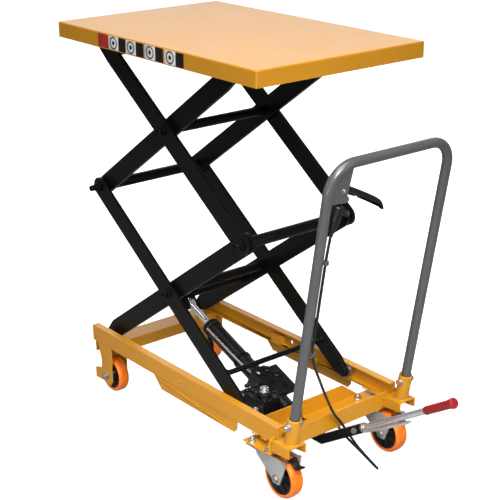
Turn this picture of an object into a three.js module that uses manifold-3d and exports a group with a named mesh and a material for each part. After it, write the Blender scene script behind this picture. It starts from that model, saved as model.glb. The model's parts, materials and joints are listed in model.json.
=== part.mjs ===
// Foot-pumped double-scissor lift table: a wheeled steel frame, two stages of scissor arms,
// a load platform and a push handle, shown at working height.
// Millimetres, +Z up, +X towards the handle, +Y across the table.
import * as THREE from 'three';
import { mergeVertices } from 'three/addons/utils/BufferGeometryUtils.js';
import Module from 'manifold-3d';

const wasm = await Module();
wasm.setup();

// ---------- driving dimensions ----------
const PLATFORM_LENGTH = 700;
const PLATFORM_WIDTH = 450;
const PLATFORM_SKIRT = 34;
const PLATFORM_SHEET = 2.5;
const PLATFORM_CORNER = 7;

const ARM_HALF = 328; // centre bolt to either end pivot
const ARM_DEPTH = 44;
const ARM_THICK = 9;
const ARM_END_RADIUS = 13; // the end that runs under the platform or in the rail
const BASE_TAPER = 30;
const TOP_TAPER = 90; // longer, so that the arm folds under the platform's sheet
const OUTER_ARM_Y = 149;
const INNER_ARM_Y = 135;
const REST_ANGLE = THREE.MathUtils.degToRad(35.4);
const PIVOT_X = -325; // the fixed pivots, above the fixed wheels
const PIVOT_Z = 145;
const TOP_PIVOT_DROP = 17; // platform surface down to its pivots

const PIN_RADIUS = 7;
const RUN_GAP = 0.3; // clearance between a pin and its hole
const OPEN_PIVOT_GAP = 0.8; // extra room where the scissor loop is closed
const FIT_GAP = 0.4; // clearance between bolted or welded neighbours

const RAIL_OUTER_Y = 173;
const RAIL_WIDTH = 18;
const RAIL_TOP = 165;
const RAIL_BOTTOM = 125;
const RAIL_SHEET = 3.5;
const RAIL_BACK = -354;
const RAIL_FRONT = 352;

const TRAY_BACK = 260;
const TRAY_FRONT = 346.5;
const TRAY_BOTTOM = 105;
const TRAY_TOP = 145;
const TRAY_HALF_WIDTH = 192;
const TRAY_SHEET = 3.5;
const LIP_SLOPE_START = 96; // where the back lip starts to slope down at its far end

const WHEEL_RADIUS = 45;
const WHEEL_WIDTH = 30;
const CASTER_WHEEL_RADIUS = 48;
const CASTER_WHEEL_WIDTH = 34;
const FIXED_WHEEL_X = -300;
const FIXED_WHEEL_Y = 148;
const CASTER_PIVOT_X = 308;
const CASTER_Y = 155;
const CASTER_TRAIL = 44;
const AXLE_RADIUS = 5;

const HANDLE_FOOT_X = 384;
const HANDLE_FOOT_Z = 148;
const HANDLE_HALF_WIDTH = 162;
const HANDLE_LENGTH = 617; // foot to crossbar centre, along the leg
const HANDLE_TUBE = 10.5;
const HANDLE_WALL = 2;
const HANDLE_BEND = 57;
const HANDLE_LEAN = THREE.MathUtils.degToRad(9.9);

const PEDAL_PIVOT_X = 232;
const PEDAL_PIVOT_Z = 62;
const PEDAL_KNEE = 74; // level part, pivot to bend
const PEDAL_RISE = THREE.MathUtils.degToRad(32.2);
const PEDAL_ARM_LENGTH = 145; // lengths along the rising part
const PEDAL_TUBE_LENGTH = 205;
const PEDAL_GRIP_LENGTH = 86;
const GRIP_END_RADIUS = 10.8;

const RAM_Y = -40;
const RAM_ALONG = 230; // ram pin on the inner arms, along from their fixed pivot
const RAM_BELOW = 25;
const RAM_FOOT_X = 250;
const RAM_FOOT_Z = 110;
const BARREL_RADIUS = 19.5;
const ROD_RADIUS = 8;
const GLAND_DISTANCE = 82; // ram pin to the barrel's mouth
const ROD_LENGTH = 300;
const BARREL_END = 20; // barrel's closed end to its foot pin

// ---------- worked-out positions ----------
const COS = Math.cos(REST_ANGLE);
const SIN = Math.sin(REST_ANGLE);
const ROLLER_X = PIVOT_X + 2 * ARM_HALF * COS;
const CENTRE_X = PIVOT_X + ARM_HALF * COS;
const STAGE_RISE = 2 * ARM_HALF * SIN;
const MID_Z = PIVOT_Z + STAGE_RISE;
const TOP_Z = PIVOT_Z + 2 * STAGE_RISE;
const PLATFORM_TOP = TOP_Z + TOP_PIVOT_DROP;
const OUTER_FACE_Y = OUTER_ARM_Y + ARM_THICK / 2;
const INNER_FACE_Y = INNER_ARM_Y - ARM_THICK / 2;
const RAM_PIN_X = PIVOT_X + RAM_ALONG * COS + RAM_BELOW * SIN;
const RAM_PIN_Z = PIVOT_Z + RAM_ALONG * SIN - RAM_BELOW * COS;
const RAM_LENGTH = Math.hypot(RAM_FOOT_X - RAM_PIN_X, RAM_FOOT_Z - RAM_PIN_Z);
const RAM_SLOPE = Math.atan2(RAM_PIN_Z - RAM_FOOT_Z, RAM_FOOT_X - RAM_PIN_X);
const PEDAL_REACH = PEDAL_ARM_LENGTH + PEDAL_TUBE_LENGTH + PEDAL_GRIP_LENGTH;
const PEDAL_TIP_X = PEDAL_PIVOT_X + PEDAL_KNEE + PEDAL_REACH * Math.cos(PEDAL_RISE)
  + GRIP_END_RADIUS * Math.sin(PEDAL_RISE);
// The origin is on the floor, at the middle of the overall length.
const FRAME_CENTRE_X = (RAIL_BACK + PEDAL_TIP_X) / 2;

// ---------- materials ----------
const finish = (color, roughness, metalness) => () => (
  new THREE.MeshStandardMaterial({ color, roughness, metalness })
);
const orangePaint = finish(0xd8921f, 0.42, 0.1);
const blackPaint = finish(0x16171a, 0.4, 0.2);
const greyPaint = finish(0x8b8d90, 0.38, 0.3);
const zinc = finish(0xb9bcc0, 0.35, 0.8);
const chrome = finish(0xd9dce0, 0.12, 1);
const orangeTyre = finish(0xf47a1c, 0.5, 0);
const blackPlastic = finish(0x141416, 0.55, 0);
const redRubber = finish(0xa81e28, 0.6, 0);

// ---------- solids ----------
const toSolid = (geometry) => {
  const bare = geometry.clone();
  bare.deleteAttribute('normal');
  bare.deleteAttribute('uv');
  const merged = mergeVertices(bare, 1e-4);
  const mesh = new wasm.Mesh({
    numProp: 3,
    vertProperties: new Float32Array(merged.attributes.position.array),
    triVerts: new Uint32Array(merged.index.array),
  });
  return new wasm.Manifold(mesh);
};

const toGeometry = (solid) => {
  const mesh = solid.getMesh();
  const geometry = new THREE.BufferGeometry();
  geometry.setAttribute('position', new THREE.BufferAttribute(mesh.vertProperties, 3));
  geometry.setIndex(new THREE.BufferAttribute(mesh.triVerts, 1));
  geometry.computeVertexNormals();
  return geometry;
};

const join = (geometries) => geometries.map(toSolid).reduce((sum, solid) => sum.add(solid));
const build = (added, removed = []) => {
  const body = join(added);
  return toGeometry(removed.length ? body.subtract(join(removed)) : body);
};

// A box from its lowest to its highest corner.
const box = (low, high) => {
  const [x, y, z] = [0, 1, 2].map((i) => high[i] - low[i]);
  const geometry = new THREE.BoxGeometry(x, y, z);
  return geometry.translate((low[0] + high[0]) / 2, (low[1] + high[1]) / 2, (low[2] + high[2]) / 2);
};

// A box between two distances from the centre plane, on one side of it.
const sideBox = (side, x0, x1, y0, y1, z0, z1) => {
  const edges = [side * y0, side * y1].sort((a, b) => a - b);
  return box([x0, edges[0], z0], [x1, edges[1], z1]);
};

const rodY = (radius, x, z, y0, y1, segments = 16) => {
  const geometry = new THREE.CylinderGeometry(radius, radius, Math.abs(y1 - y0), segments);
  return geometry.translate(x, (y0 + y1) / 2, z);
};
const rodZ = (radius, x, y, z0, z1, segments = 16) => {
  const geometry = new THREE.CylinderGeometry(radius, radius, z1 - z0, segments).rotateX(Math.PI / 2);
  return geometry.translate(x, y, (z0 + z1) / 2);
};
const rodX = (radius, y, z, x0, x1, segments = 16) => {
  const geometry = new THREE.CylinderGeometry(radius, radius, x1 - x0, segments).rotateZ(Math.PI / 2);
  return geometry.translate((x0 + x1) / 2, y, z);
};

// A flat plate drawn in X and Z, centred on a given Y.
const sidePlate = (shape, y, thickness, curveSegments = 10) => {
  const geometry = new THREE.ExtrudeGeometry(shape, { depth: thickness, bevelEnabled: false, curveSegments });
  return geometry.rotateX(Math.PI / 2).translate(0, y + thickness / 2, 0);
};

const polygon = (points) => new THREE.Shape(points.map(([x, y]) => new THREE.Vector2(x, y)));

const addHole = (shape, x, y, radius) => {
  const hole = new THREE.Path();
  hole.absarc(x, y, radius, 0, Math.PI * 2, true);
  shape.holes.push(hole);
};

// A turned part about the Y axis, from [distance along Y, radius] steps.
const turnedY = (steps, segments = 24) => {
  const points = steps.map(([along, radius]) => new THREE.Vector2(radius, along));
  return new THREE.LatheGeometry(points, segments);
};

const part = (name, geometry, material) => {
  const mesh = new THREE.Mesh(geometry, material());
  mesh.name = name;
  return mesh;
};

const SIDES = [['near', -1], ['far', 1]];

// ---------- base frame ----------
// C-section rail open towards the middle, with a deeper strip along its centre, a stop block
// in the channel and the fixed pivot pin of the lower arms at its back end.
const makeRail = (name, side) => {
  const inner = RAIL_OUTER_Y - RAIL_WIDTH;
  const web = RAIL_OUTER_Y - RAIL_SHEET;
  const channel = sideBox(side, RAIL_BACK, RAIL_FRONT, inner, RAIL_OUTER_Y, RAIL_BOTTOM, RAIL_TOP);
  const hollow = sideBox(side, RAIL_BACK - 1, RAIL_FRONT + 1, inner - 1, web,
    RAIL_BOTTOM + RAIL_SHEET, RAIL_TOP - RAIL_SHEET);
  const stripBottom = 95;
  const strip = polygon([[-97, RAIL_BOTTOM + 3], [-97, RAIL_BOTTOM], [-66, stripBottom],
    [204, stripBottom], [214, RAIL_BOTTOM - 18], [214, RAIL_BOTTOM + 3]]);
  const stripThickness = 3;
  const stripPlate = sidePlate(strip, side * (web + 0.5), stripThickness);
  const boltHole = rodY(4.5, 4, 141, side * (web - 2), side * (RAIL_OUTER_Y + 2), 16);
  const pin = rodY(PIN_RADIUS + 1, PIVOT_X, PIVOT_Z, side * (web + 1), side * (INNER_FACE_Y - 1.5));
  const stopBlock = sideBox(side, -58, -20, inner + 0.5, web + 1, RAIL_BOTTOM + 3, RAIL_BOTTOM + 23);
  const shell = toSolid(channel).subtract(toSolid(hollow)).subtract(toSolid(boltHole));
  const body = shell.add(join([stripPlate, pin, stopBlock]));
  return part(name, toGeometry(body), orangePaint);
};

// Inverted channel that ties the rails together over the fixed wheels.
const makeRearCrossMember = () => {
  const back = -350;
  const front = -296;
  const top = RAIL_BOTTOM - FIT_GAP;
  const bottom = 95;
  const sheet = RAIL_SHEET;
  const section = polygon([[back, bottom], [back + sheet, bottom], [back + sheet, top - sheet],
    [front - sheet, top - sheet], [front - sheet, bottom], [front, bottom], [front, top], [back, top]]);
  const width = 2 * (RAIL_OUTER_Y - RAIL_SHEET - FIT_GAP);
  return part('rear_cross_member', sidePlate(section, 0, width), orangePaint);
};

// Open tray across the handle end: floor, back lip between the arms, full-width front lip.
const makeCasterTray = () => {
  const lip = new THREE.Shape();
  const corner = 16;
  const w = TRAY_HALF_WIDTH;
  lip.moveTo(-w, TRAY_BOTTOM);
  lip.lineTo(w, TRAY_BOTTOM);
  lip.lineTo(w, TRAY_TOP - corner);
  lip.absarc(w - corner, TRAY_TOP - corner, corner, 0, Math.PI / 2, false);
  lip.absarc(corner - w, TRAY_TOP - corner, corner, Math.PI / 2, Math.PI, false);
  const lipSettings = { depth: TRAY_SHEET, bevelEnabled: false, curveSegments: 8 };
  const frontLip = new THREE.ExtrudeGeometry(lip, lipSettings);
  // drawn in Y and Z, pushed along X
  frontLip.rotateX(Math.PI / 2).rotateZ(Math.PI / 2).translate(TRAY_FRONT - TRAY_SHEET, 0, 0);
  const floor = box([TRAY_BACK, -w, TRAY_BOTTOM], [TRAY_FRONT - 1, w, TRAY_BOTTOM + TRAY_SHEET]);
  const backHalf = OUTER_ARM_Y - ARM_THICK / 2 - 2.5;
  const slope = polygon([[-backHalf, TRAY_BOTTOM], [backHalf, TRAY_BOTTOM], [backHalf, TRAY_BOTTOM + 6],
    [LIP_SLOPE_START, TRAY_TOP], [-backHalf, TRAY_TOP]]);
  const backLip = new THREE.ExtrudeGeometry(slope, { depth: TRAY_SHEET, bevelEnabled: false });
  backLip.rotateX(Math.PI / 2).rotateZ(Math.PI / 2).translate(TRAY_BACK, 0, 0);
  const notches = SIDES.map(([, side]) => sideBox(side, TRAY_FRONT - 10, TRAY_FRONT + 10,
    RAIL_OUTER_Y - RAIL_WIDTH - FIT_GAP, RAIL_OUTER_Y + FIT_GAP, RAIL_BOTTOM - FIT_GAP, RAIL_TOP));
  const ramSlot = box([TRAY_BACK - 1, RAM_Y - 14, TRAY_BOTTOM - 1],
    [TRAY_BACK + 20, RAM_Y + 14, TRAY_BOTTOM + 23]);
  return part('caster_tray', build([floor, frontLip, backLip], [...notches, ramSlot]), orangePaint);
};

// Folded bracket on the tray's front lip with the socket that holds one handle leg.
const makeHandleSocket = (name, side) => {
  const x0 = TRAY_FRONT + FIT_GAP;
  const x1 = 402;
  const top = 140;
  const sheet = 3;
  const halfWidth = 24;
  const inner = HANDLE_HALF_WIDTH - halfWidth;
  const outer = HANDLE_HALF_WIDTH + halfWidth;
  const plate = sideBox(side, RAIL_FRONT + FIT_GAP, x1, inner, outer, top - sheet, top);
  const flanges = [[inner, inner + sheet], [outer - sheet, outer]].map(([y0, y1]) => {
    const flange = polygon([[x0, 113], [x1, 118], [x1, top - 1], [x0, top - 1]]);
    return sidePlate(flange, side * (y0 + y1) / 2, sheet);
  });
  const along = (length, radius, start, segments) => new THREE.CylinderGeometry(radius, radius, length, segments)
    .rotateX(Math.PI / 2).translate(0, 0, start + length / 2).rotateY(HANDLE_LEAN)
    .translate(HANDLE_FOOT_X, side * HANDLE_HALF_WIDTH, HANDLE_FOOT_Z);
  const socket = along(61, 15, -8.2, 28);
  const bore = along(80, HANDLE_TUBE + 1, -1.5, 28);
  return part(name, build([plate, ...flanges, socket], [bore]), orangePaint);
};

// Fork of one fixed wheel: outer plate with a toe, inner plate and the axle bolt.
const makeFixedFork = (name, side) => {
  const top = RAIL_BOTTOM - FIT_GAP;
  const outerPlate = polygon([[-334, top], [-321, 84], [-322, 60], [-349, 52], [-349, 25],
    [-313, 27], [-296, 21], [-283, 24], [-276, 36], [-275, top]]);
  const innerPlate = polygon([[-331, 94.6], [-320, 27], [-281, 27], [-279, 94.6]]);
  const outer = sidePlate(outerPlate, side * (RAIL_OUTER_Y - 1.5), 3);
  const inner = sidePlate(innerPlate, side * (FIXED_WHEEL_Y - WHEEL_WIDTH / 2 - 7.5), 3);
  const y0 = FIXED_WHEEL_Y - WHEEL_WIDTH / 2 - 12;
  const axle = rodY(AXLE_RADIUS, FIXED_WHEEL_X, WHEEL_RADIUS, side * y0, side * (RAIL_OUTER_Y + 4));
  const headStart = side * (RAIL_OUTER_Y - 0.5);
  const headEnd = side * (RAIL_OUTER_Y + 4.5);
  const head = rodY(9, FIXED_WHEEL_X, WHEEL_RADIUS, headStart, headEnd, 6);
  const nut = rodY(9, FIXED_WHEEL_X, WHEEL_RADIUS, side * (y0 - 2), side * (y0 + 5), 6);
  return part(name, build([outer, inner, axle, head, nut]), orangePaint);
};

// ---------- wheels and casters ----------
const TREAD_DEPTH = 9;

const makeTyre = (name, r, width) => {
  const h = width / 2;
  const rim = r - TREAD_DEPTH;
  const shoulder = r - 5;
  const steps = [[-h + 2, rim], [-h + 0.5, shoulder], [-h + 6, r], [h - 6, r], [h - 0.5, shoulder], [h - 2, rim],
    [-h + 2, rim]];
  return part(name, turnedY(steps, 28), orangeTyre);
};

const makeWheelCore = (name, r, width) => {
  const h = width / 2;
  const rim = r - TREAD_DEPTH - FIT_GAP;
  const bore = AXLE_RADIUS + RUN_GAP;
  const steps = [[-h, bore], [-h, 11], [-h + 6, 13], [-h + 2.2, rim], [h - 2.2, rim], [h - 6, 13], [h, 11],
    [h, bore], [-h, bore]];
  return part(name, turnedY(steps, 24), blackPlastic);
};

const placeWheel = (name, x, y, radius, width) => {
  const wheel = new THREE.Group();
  wheel.add(makeTyre(`${name}_tyre`, radius, width), makeWheelCore(`${name}_core`, radius, width));
  wheel.position.set(x, y, radius);
  return wheel;
};

const CASTER_PLATE_BACK = 270;
const CASTER_PLATE_TOP = TRAY_BOTTOM - FIT_GAP;
const CASTER_PLATE_BOTTOM = CASTER_PLATE_TOP - 3.2;

const makeCasterPlate = (name, side) => {
  const half = 37;
  const y = side * CASTER_Y;
  const plate = box([CASTER_PLATE_BACK, y - half, CASTER_PLATE_BOTTOM],
    [CASTER_PLATE_BACK + 2 * half, y + half, CASTER_PLATE_TOP]);
  return part(name, plate, zinc);
};

const BRAKE_PIN_RADIUS = 2.5;
const BRAKE_BEHIND_AXLE = 25;
const BRAKE_Z = 95.2;

// Swivelling fork, with its crown just under the mounting plate and the wheel trailing behind.
const makeCasterFork = (name, side) => {
  const px = CASTER_PIVOT_X;
  const ax = CASTER_PIVOT_X + CASTER_TRAIL;
  const y = side * CASTER_Y;
  const cheekY = CASTER_WHEEL_WIDTH / 2 + 4.5;
  const sheet = 3;
  const cheek = new THREE.Shape();
  cheek.moveTo(px - 22, 96);
  cheek.lineTo(px - 22, 86);
  cheek.lineTo(ax - 12, CASTER_WHEEL_RADIUS - 3);
  cheek.absarc(ax, CASTER_WHEEL_RADIUS, 12.4, Math.PI * 1.08, Math.PI * 2.05, false);
  cheek.lineTo(ax + 29, 88);
  cheek.lineTo(ax + 29, 97.9);
  cheek.lineTo(ax, 97.9);
  cheek.lineTo(px + 16, 96);
  const cheeks = [-1, 1].map((s) => sidePlate(cheek, y + s * cheekY, sheet, 6));
  const crown = box([px - 22, y - cheekY, 92.5], [px + 14, y + cheekY, 96]);
  const head = rodZ(19, px, y, 95, CASTER_PLATE_BOTTOM - 0.5, 28);
  const axle = rodY(AXLE_RADIUS, ax, CASTER_WHEEL_RADIUS, y - cheekY - 3, y + cheekY + 3);
  const ends = [-1, 1].map((s) => (
    rodY(8.5, ax, CASTER_WHEEL_RADIUS, y + s * (cheekY + 1), y + s * (cheekY + 6.5), 6)
  ));
  const brakePin = rodY(BRAKE_PIN_RADIUS, ax + BRAKE_BEHIND_AXLE, BRAKE_Z, y - cheekY, y + cheekY, 12);
  return part(name, build([...cheeks, crown, head, axle, ...ends, brakePin]), zinc);
};

// Toe brake that hinges on the caster fork and curves down behind the wheel.
const makeCasterBrake = (name, side) => {
  const x = CASTER_PIVOT_X + CASTER_TRAIL + BRAKE_BEHIND_AXLE;
  const z = BRAKE_Z;
  const blade = new THREE.Shape();
  blade.moveTo(x, z + 2.6);
  blade.quadraticCurveTo(x + 14, z + 2, x + 17, z - 7);
  blade.quadraticCurveTo(x + 26, z - 7, x + 34, z - 1);
  blade.lineTo(x + 36, z - 4.5);
  blade.quadraticCurveTo(x + 26, z - 13, x + 15, z - 12);
  blade.quadraticCurveTo(x + 13, z - 3, x, z - 1.4);
  const y = side * CASTER_Y;
  const hub = rodY(4.2, x, z, y - 12, y + 12);
  const bore = rodY(BRAKE_PIN_RADIUS + RUN_GAP, x, z, y - 13, y + 13, 12);
  return part(name, build([sidePlate(blade, y, 22, 5), hub], [bore]), blackPlastic);
};

// ---------- scissor arms ----------
// One arm along its own X axis: a tapered end pivot at 0, the centre bolt, a round end pivot.
const armOutline = (endHole, farHole, taper) => {
  const r = ARM_END_RADIUS;
  const half = ARM_DEPTH / 2;
  const reach = 2 * ARM_HALF;
  const outline = new THREE.Shape();
  outline.absarc(0, 0, r, Math.PI / 2, Math.PI * 1.5, false);
  outline.lineTo(taper, -half);
  outline.absarc(reach, 0, half, -Math.PI / 2, Math.PI / 2, false);
  outline.lineTo(taper, half);
  if (endHole) addHole(outline, 0, 0, endHole);
  addHole(outline, ARM_HALF, 0, PIN_RADIUS + RUN_GAP);
  addHole(outline, reach, 0, farHole);
  return outline;
};

const makeArm = (name, y, endHole, farHole, taper, extra = []) => {
  const plate = sidePlate(armOutline(endHole, farHole, taper), y, ARM_THICK, 7);
  return part(name, extra.length ? build([plate, ...extra]) : plate, blackPaint);
};

const ROLLER_LENGTH = 10;
const BASE_ROLLER_RADIUS = 16;
const BASE_ROLLER_Y = 157;
const PLATFORM_ROLLER_RADIUS = 13;
const PLATFORM_ROLLER_Y = 142;

// Roller stub fixed to an arm's tapered end, standing out towards its track.
const rollerStub = (side, y0, y1) => rodY(PIN_RADIUS - 1, 0, 0, side * y0, side * y1);

const makeRoller = (name, radius, side, y0) => {
  const body = rodY(radius, 0, 0, side * y0, side * (y0 + ROLLER_LENGTH), 32);
  const bore = rodY(PIN_RADIUS - 1 + RUN_GAP, 0, 0, side * (y0 - 1), side * (y0 + ROLLER_LENGTH + 1));
  return part(name, build([body], [bore]), zinc);
};

// Cross shaft through both arm pairs: tube between the inner arms, stepped pins, collars and nuts.
const makeShaft = (name, tubeRadius, nutEnd) => {
  const innerFace = INNER_FACE_Y - FIT_GAP;
  const collarStart = INNER_ARM_Y + ARM_THICK / 2 + FIT_GAP;
  const collarEnd = OUTER_ARM_Y - ARM_THICK / 2 - FIT_GAP;
  const nutStart = OUTER_FACE_Y + FIT_GAP;
  const half = [[innerFace, tubeRadius], [innerFace, PIN_RADIUS], [collarStart, PIN_RADIUS], [collarStart, 12],
    [collarEnd, 12], [collarEnd, PIN_RADIUS], [nutStart, PIN_RADIUS], [nutStart, 10], [nutEnd, 10], [nutEnd, 0]];
  const other = half.toReversed().map(([along, radius]) => [-along, radius]);
  return part(name, turnedY([...other, ...half], 16), blackPaint);
};

const toLowerInner = (mesh) => place(mesh, PIVOT_X, PIVOT_Z, -REST_ANGLE);
const toLowerOuter = (mesh) => place(mesh, ROLLER_X, PIVOT_Z, Math.PI + REST_ANGLE);
const toUpperOuter = (mesh) => place(mesh, PIVOT_X, TOP_Z, REST_ANGLE);
const toUpperInner = (mesh) => place(mesh, ROLLER_X, TOP_Z, Math.PI - REST_ANGLE);
const place = (mesh, x, z, turn) => {
  mesh.position.set(x, 0, z);
  mesh.rotation.y = turn;
  return mesh;
};
const at = (mesh, x, z) => place(mesh, x, z, 0);

const addScissors = (group) => {
  const pinHole = PIN_RADIUS + RUN_GAP;
  const openHole = PIN_RADIUS + OPEN_PIVOT_GAP;
  const baseStub = BASE_ROLLER_Y + ROLLER_LENGTH + 0.5;
  const topStub = PLATFORM_ROLLER_Y + ROLLER_LENGTH + 0.5;
  for (const [label, side] of SIDES) {
    const inner = side * INNER_ARM_Y;
    const outer = side * OUTER_ARM_Y;
    const lowStub = rollerStub(side, OUTER_ARM_Y, baseStub);
    const highStub = rollerStub(side, INNER_ARM_Y, topStub);
    group.add(toLowerInner(makeArm(`lower_inner_arm_${label}`, inner, pinHole + 1, pinHole, BASE_TAPER)));
    group.add(toLowerOuter(makeArm(`lower_outer_arm_${label}`, outer, 0, openHole, BASE_TAPER, [lowStub])));
    group.add(toUpperOuter(makeArm(`upper_outer_arm_${label}`, outer, pinHole, pinHole, TOP_TAPER)));
    group.add(toUpperInner(makeArm(`upper_inner_arm_${label}`, inner, 0, pinHole, TOP_TAPER, [highStub])));
    const baseRoller = makeRoller(`base_roller_${label}`, BASE_ROLLER_RADIUS, side, BASE_ROLLER_Y);
    const topRoller = makeRoller(`platform_roller_${label}`, PLATFORM_ROLLER_RADIUS, side, PLATFORM_ROLLER_Y);
    group.add(at(baseRoller, ROLLER_X, PIVOT_Z), at(topRoller, ROLLER_X, TOP_Z));
  }
  group.add(at(makeShaft('lower_centre_shaft', 11, 166), CENTRE_X, (PIVOT_Z + MID_Z) / 2));
  group.add(at(makeShaft('upper_centre_shaft', 11, 166), CENTRE_X, (MID_Z + TOP_Z) / 2));
  group.add(at(makeShaft('mid_roller_end_shaft', 12.5, 168), ROLLER_X, MID_Z));
  group.add(at(makeShaft('mid_pivot_end_shaft', 12.5, 177), PIVOT_X, MID_Z));
};

// Round ties across the outer arms, near the rollers below and near the pivots above.
const makeTie = (name, radius, along, normal) => {
  const half = OUTER_ARM_Y - ARM_THICK / 2 - FIT_GAP;
  return part(name, rodY(radius, along, normal, -half, half, 20), blackPaint);
};

// ---------- platform ----------
const roundedRectangle = (length, width, corner) => {
  const x = length / 2 - corner;
  const y = width / 2 - corner;
  const outline = new THREE.Shape();
  outline.absarc(x, y, corner, 0, Math.PI / 2, false);
  outline.absarc(-x, y, corner, Math.PI / 2, Math.PI, false);
  outline.absarc(-x, -y, corner, Math.PI, Math.PI * 1.5, false);
  outline.absarc(x, -y, corner, Math.PI * 1.5, Math.PI * 2, false);
  return outline;
};

const slab = (outline, z0, z1) => {
  const settings = { depth: z1 - z0, bevelEnabled: false, curveSegments: 6 };
  const geometry = new THREE.ExtrudeGeometry(outline, settings);
  return geometry.translate(0, 0, z0);
};

const makePlatform = () => {
  const bottom = PLATFORM_TOP - PLATFORM_SKIRT;
  const ceiling = PLATFORM_TOP - PLATFORM_SHEET;
  const outer = slab(roundedRectangle(PLATFORM_LENGTH, PLATFORM_WIDTH, PLATFORM_CORNER), bottom, PLATFORM_TOP);
  const inset = 2 * PLATFORM_SHEET;
  const hollow = slab(roundedRectangle(PLATFORM_LENGTH - inset, PLATFORM_WIDTH - inset,
    PLATFORM_CORNER - PLATFORM_SHEET), bottom - 1, ceiling);
  return part('platform', build([outer], [hollow]), orangePaint);
};

// Angle under the platform: roller track at the handle end, fixed pivot ear at the other.
const makePlatformTrack = (name, side) => {
  const bottom = PLATFORM_TOP - PLATFORM_SKIRT + 0.5;
  const ceiling = PLATFORM_TOP - PLATFORM_SHEET - FIT_GAP;
  const web = sideBox(side, -344, 344, 157.5, 160.5, bottom, ceiling);
  const ledge = sideBox(side, 95, 344, 142, 159, bottom, bottom + 3);
  const topFlange = sideBox(side, -344, 344, 159, 176, ceiling - 3, ceiling);
  const pin = rodY(PIN_RADIUS, PIVOT_X, TOP_Z, side * 158, side * 142.5);
  return part(name, build([web, ledge, topFlange, pin]), orangePaint);
};

// ---------- ram ----------
// Cross tube between the lower inner arms, with two lugs and the pin that the ram pushes.
const makeRamCrossbar = () => {
  const half = INNER_FACE_Y - FIT_GAP;
  const tube = rodY(10, RAM_ALONG, 0, -half, half, 20);
  const lug = new THREE.Shape();
  lug.moveTo(RAM_ALONG - 12, 0);
  lug.lineTo(RAM_ALONG - 12, -RAM_BELOW);
  lug.absarc(RAM_ALONG, -RAM_BELOW, 12, Math.PI, Math.PI * 2, false);
  lug.lineTo(RAM_ALONG + 12, 0);
  const lugs = [-1, 1].map((s) => sidePlate(lug, RAM_Y + s * 10.5, 4, 5));
  const pin = rodY(PIN_RADIUS - 2, RAM_ALONG, -RAM_BELOW, RAM_Y - 15, RAM_Y + 15);
  return part('ram_crossbar', build([tube, ...lugs, pin]), blackPaint);
};

// The ram's own X axis runs from its pin to the foot of the barrel.
const makeRamRod = () => {
  const eye = rodY(12, 0, 0, -8, 8, 20);
  const rod = rodX(ROD_RADIUS, 0, 0, 5, ROD_LENGTH, 20);
  const bore = rodY(PIN_RADIUS - 2 + RUN_GAP, 0, 0, -9, 9);
  return part('ram_rod', build([eye, rod], [bore]), chrome);
};

// Barrel with the valve casting round its lower half and a flat tang at its foot.
const makeRamBarrel = () => {
  const end = RAM_LENGTH - BARREL_END;
  const tube = rodX(BARREL_RADIUS, 0, 0, GLAND_DISTANCE + 6, end, 24);
  const gland = rodX(BARREL_RADIUS + 1.5, 0, 0, GLAND_DISTANCE, GLAND_DISTANCE + 14, 24);
  const tang = box([end - 2, -8, -12], [RAM_LENGTH, 8, 12]);
  const eye = rodY(12, RAM_LENGTH, 0, -8, 8, 20);
  const casting = box([262, -21, -18], [352, 18, 24]);
  const wing = box([270, 10, 2], [345, 46, 24]);
  const bore = rodX(ROD_RADIUS + RUN_GAP, 0, 0, GLAND_DISTANCE - 1, end - 9, 20);
  const eyeHole = rodY(PIN_RADIUS, RAM_LENGTH, 0, -9, 9);
  return part('ram_barrel', build([tube, gland, casting, wing, tang, eye], [bore, eyeHole]), blackPaint);
};

// Two cheeks in front of the tray's back lip, bridged above, with a stub pin on each
// that stops short of the barrel's foot.
const makeRamCradle = () => {
  const front = TRAY_BACK - FIT_GAP;
  const cheekY = 20.5;
  const sheet = 3;
  const top = 132;
  const cheek = polygon([[240, 99], [front, 99], [front, top], [246, top], [240, 122]]);
  const cheeks = [-1, 1].map((s) => sidePlate(cheek, RAM_Y + s * cheekY, sheet));
  const bridge = box([246, RAM_Y - cheekY, top - sheet], [front, RAM_Y + cheekY, top]);
  const stubs = [-1, 1].map((s) => (
    rodY(PIN_RADIUS - 1, RAM_FOOT_X, RAM_FOOT_Z, RAM_Y + s * 9, RAM_Y + s * 23)
  ));
  return part('ram_cradle', build([...cheeks, bridge, ...stubs]), blackPaint);
};

const makeRam = () => {
  const ram = new THREE.Group();
  ram.add(makeRamRod(), makeRamBarrel());
  ram.position.set(RAM_PIN_X, RAM_Y, RAM_PIN_Z);
  ram.rotation.y = RAM_SLOPE;
  return ram;
};

// ---------- pump and pedal ----------
const PUMP_BACK = 152;
const PUMP_FRONT = 234;
const PUMP_BOTTOM = 102;
const PUMP_TOP = 156;
const PUMP_INNER_Y = -64;
const PUMP_OUTER_Y = -112;
const PLUNGER_X = 205;
const PLUNGER_Y = -86;
const PLUNGER_RADIUS = 6;
const PEDAL_SHAFT_RADIUS = 7;
const FINGER_RADIUS = 6;
const FINGER_RISE = 4;

const makePumpBlock = () => {
  const block = box([PUMP_BACK, PUMP_OUTER_Y, PUMP_BOTTOM], [PUMP_FRONT, PUMP_INNER_Y, PUMP_TOP]);
  const cap = rodZ(14, 206, -86, PUMP_TOP - 2, PUMP_TOP + 8, 20);
  const foot = box([PUMP_BACK + 4, PUMP_OUTER_Y + 2, TRAY_BOTTOM - FIT_GAP],
    [TRAY_BACK - FIT_GAP, PUMP_INNER_Y - 4, 111]);
  const boss = rodZ(11, PLUNGER_X, PLUNGER_Y, PUMP_BOTTOM - 6, PUMP_BOTTOM + 2, 20);
  const bore = rodZ(PLUNGER_RADIUS + RUN_GAP, PLUNGER_X, PLUNGER_Y, PUMP_BOTTOM - 7, 135);
  return part('pump_block', build([block, cap, foot, boss], [bore]), blackPaint);
};

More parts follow.
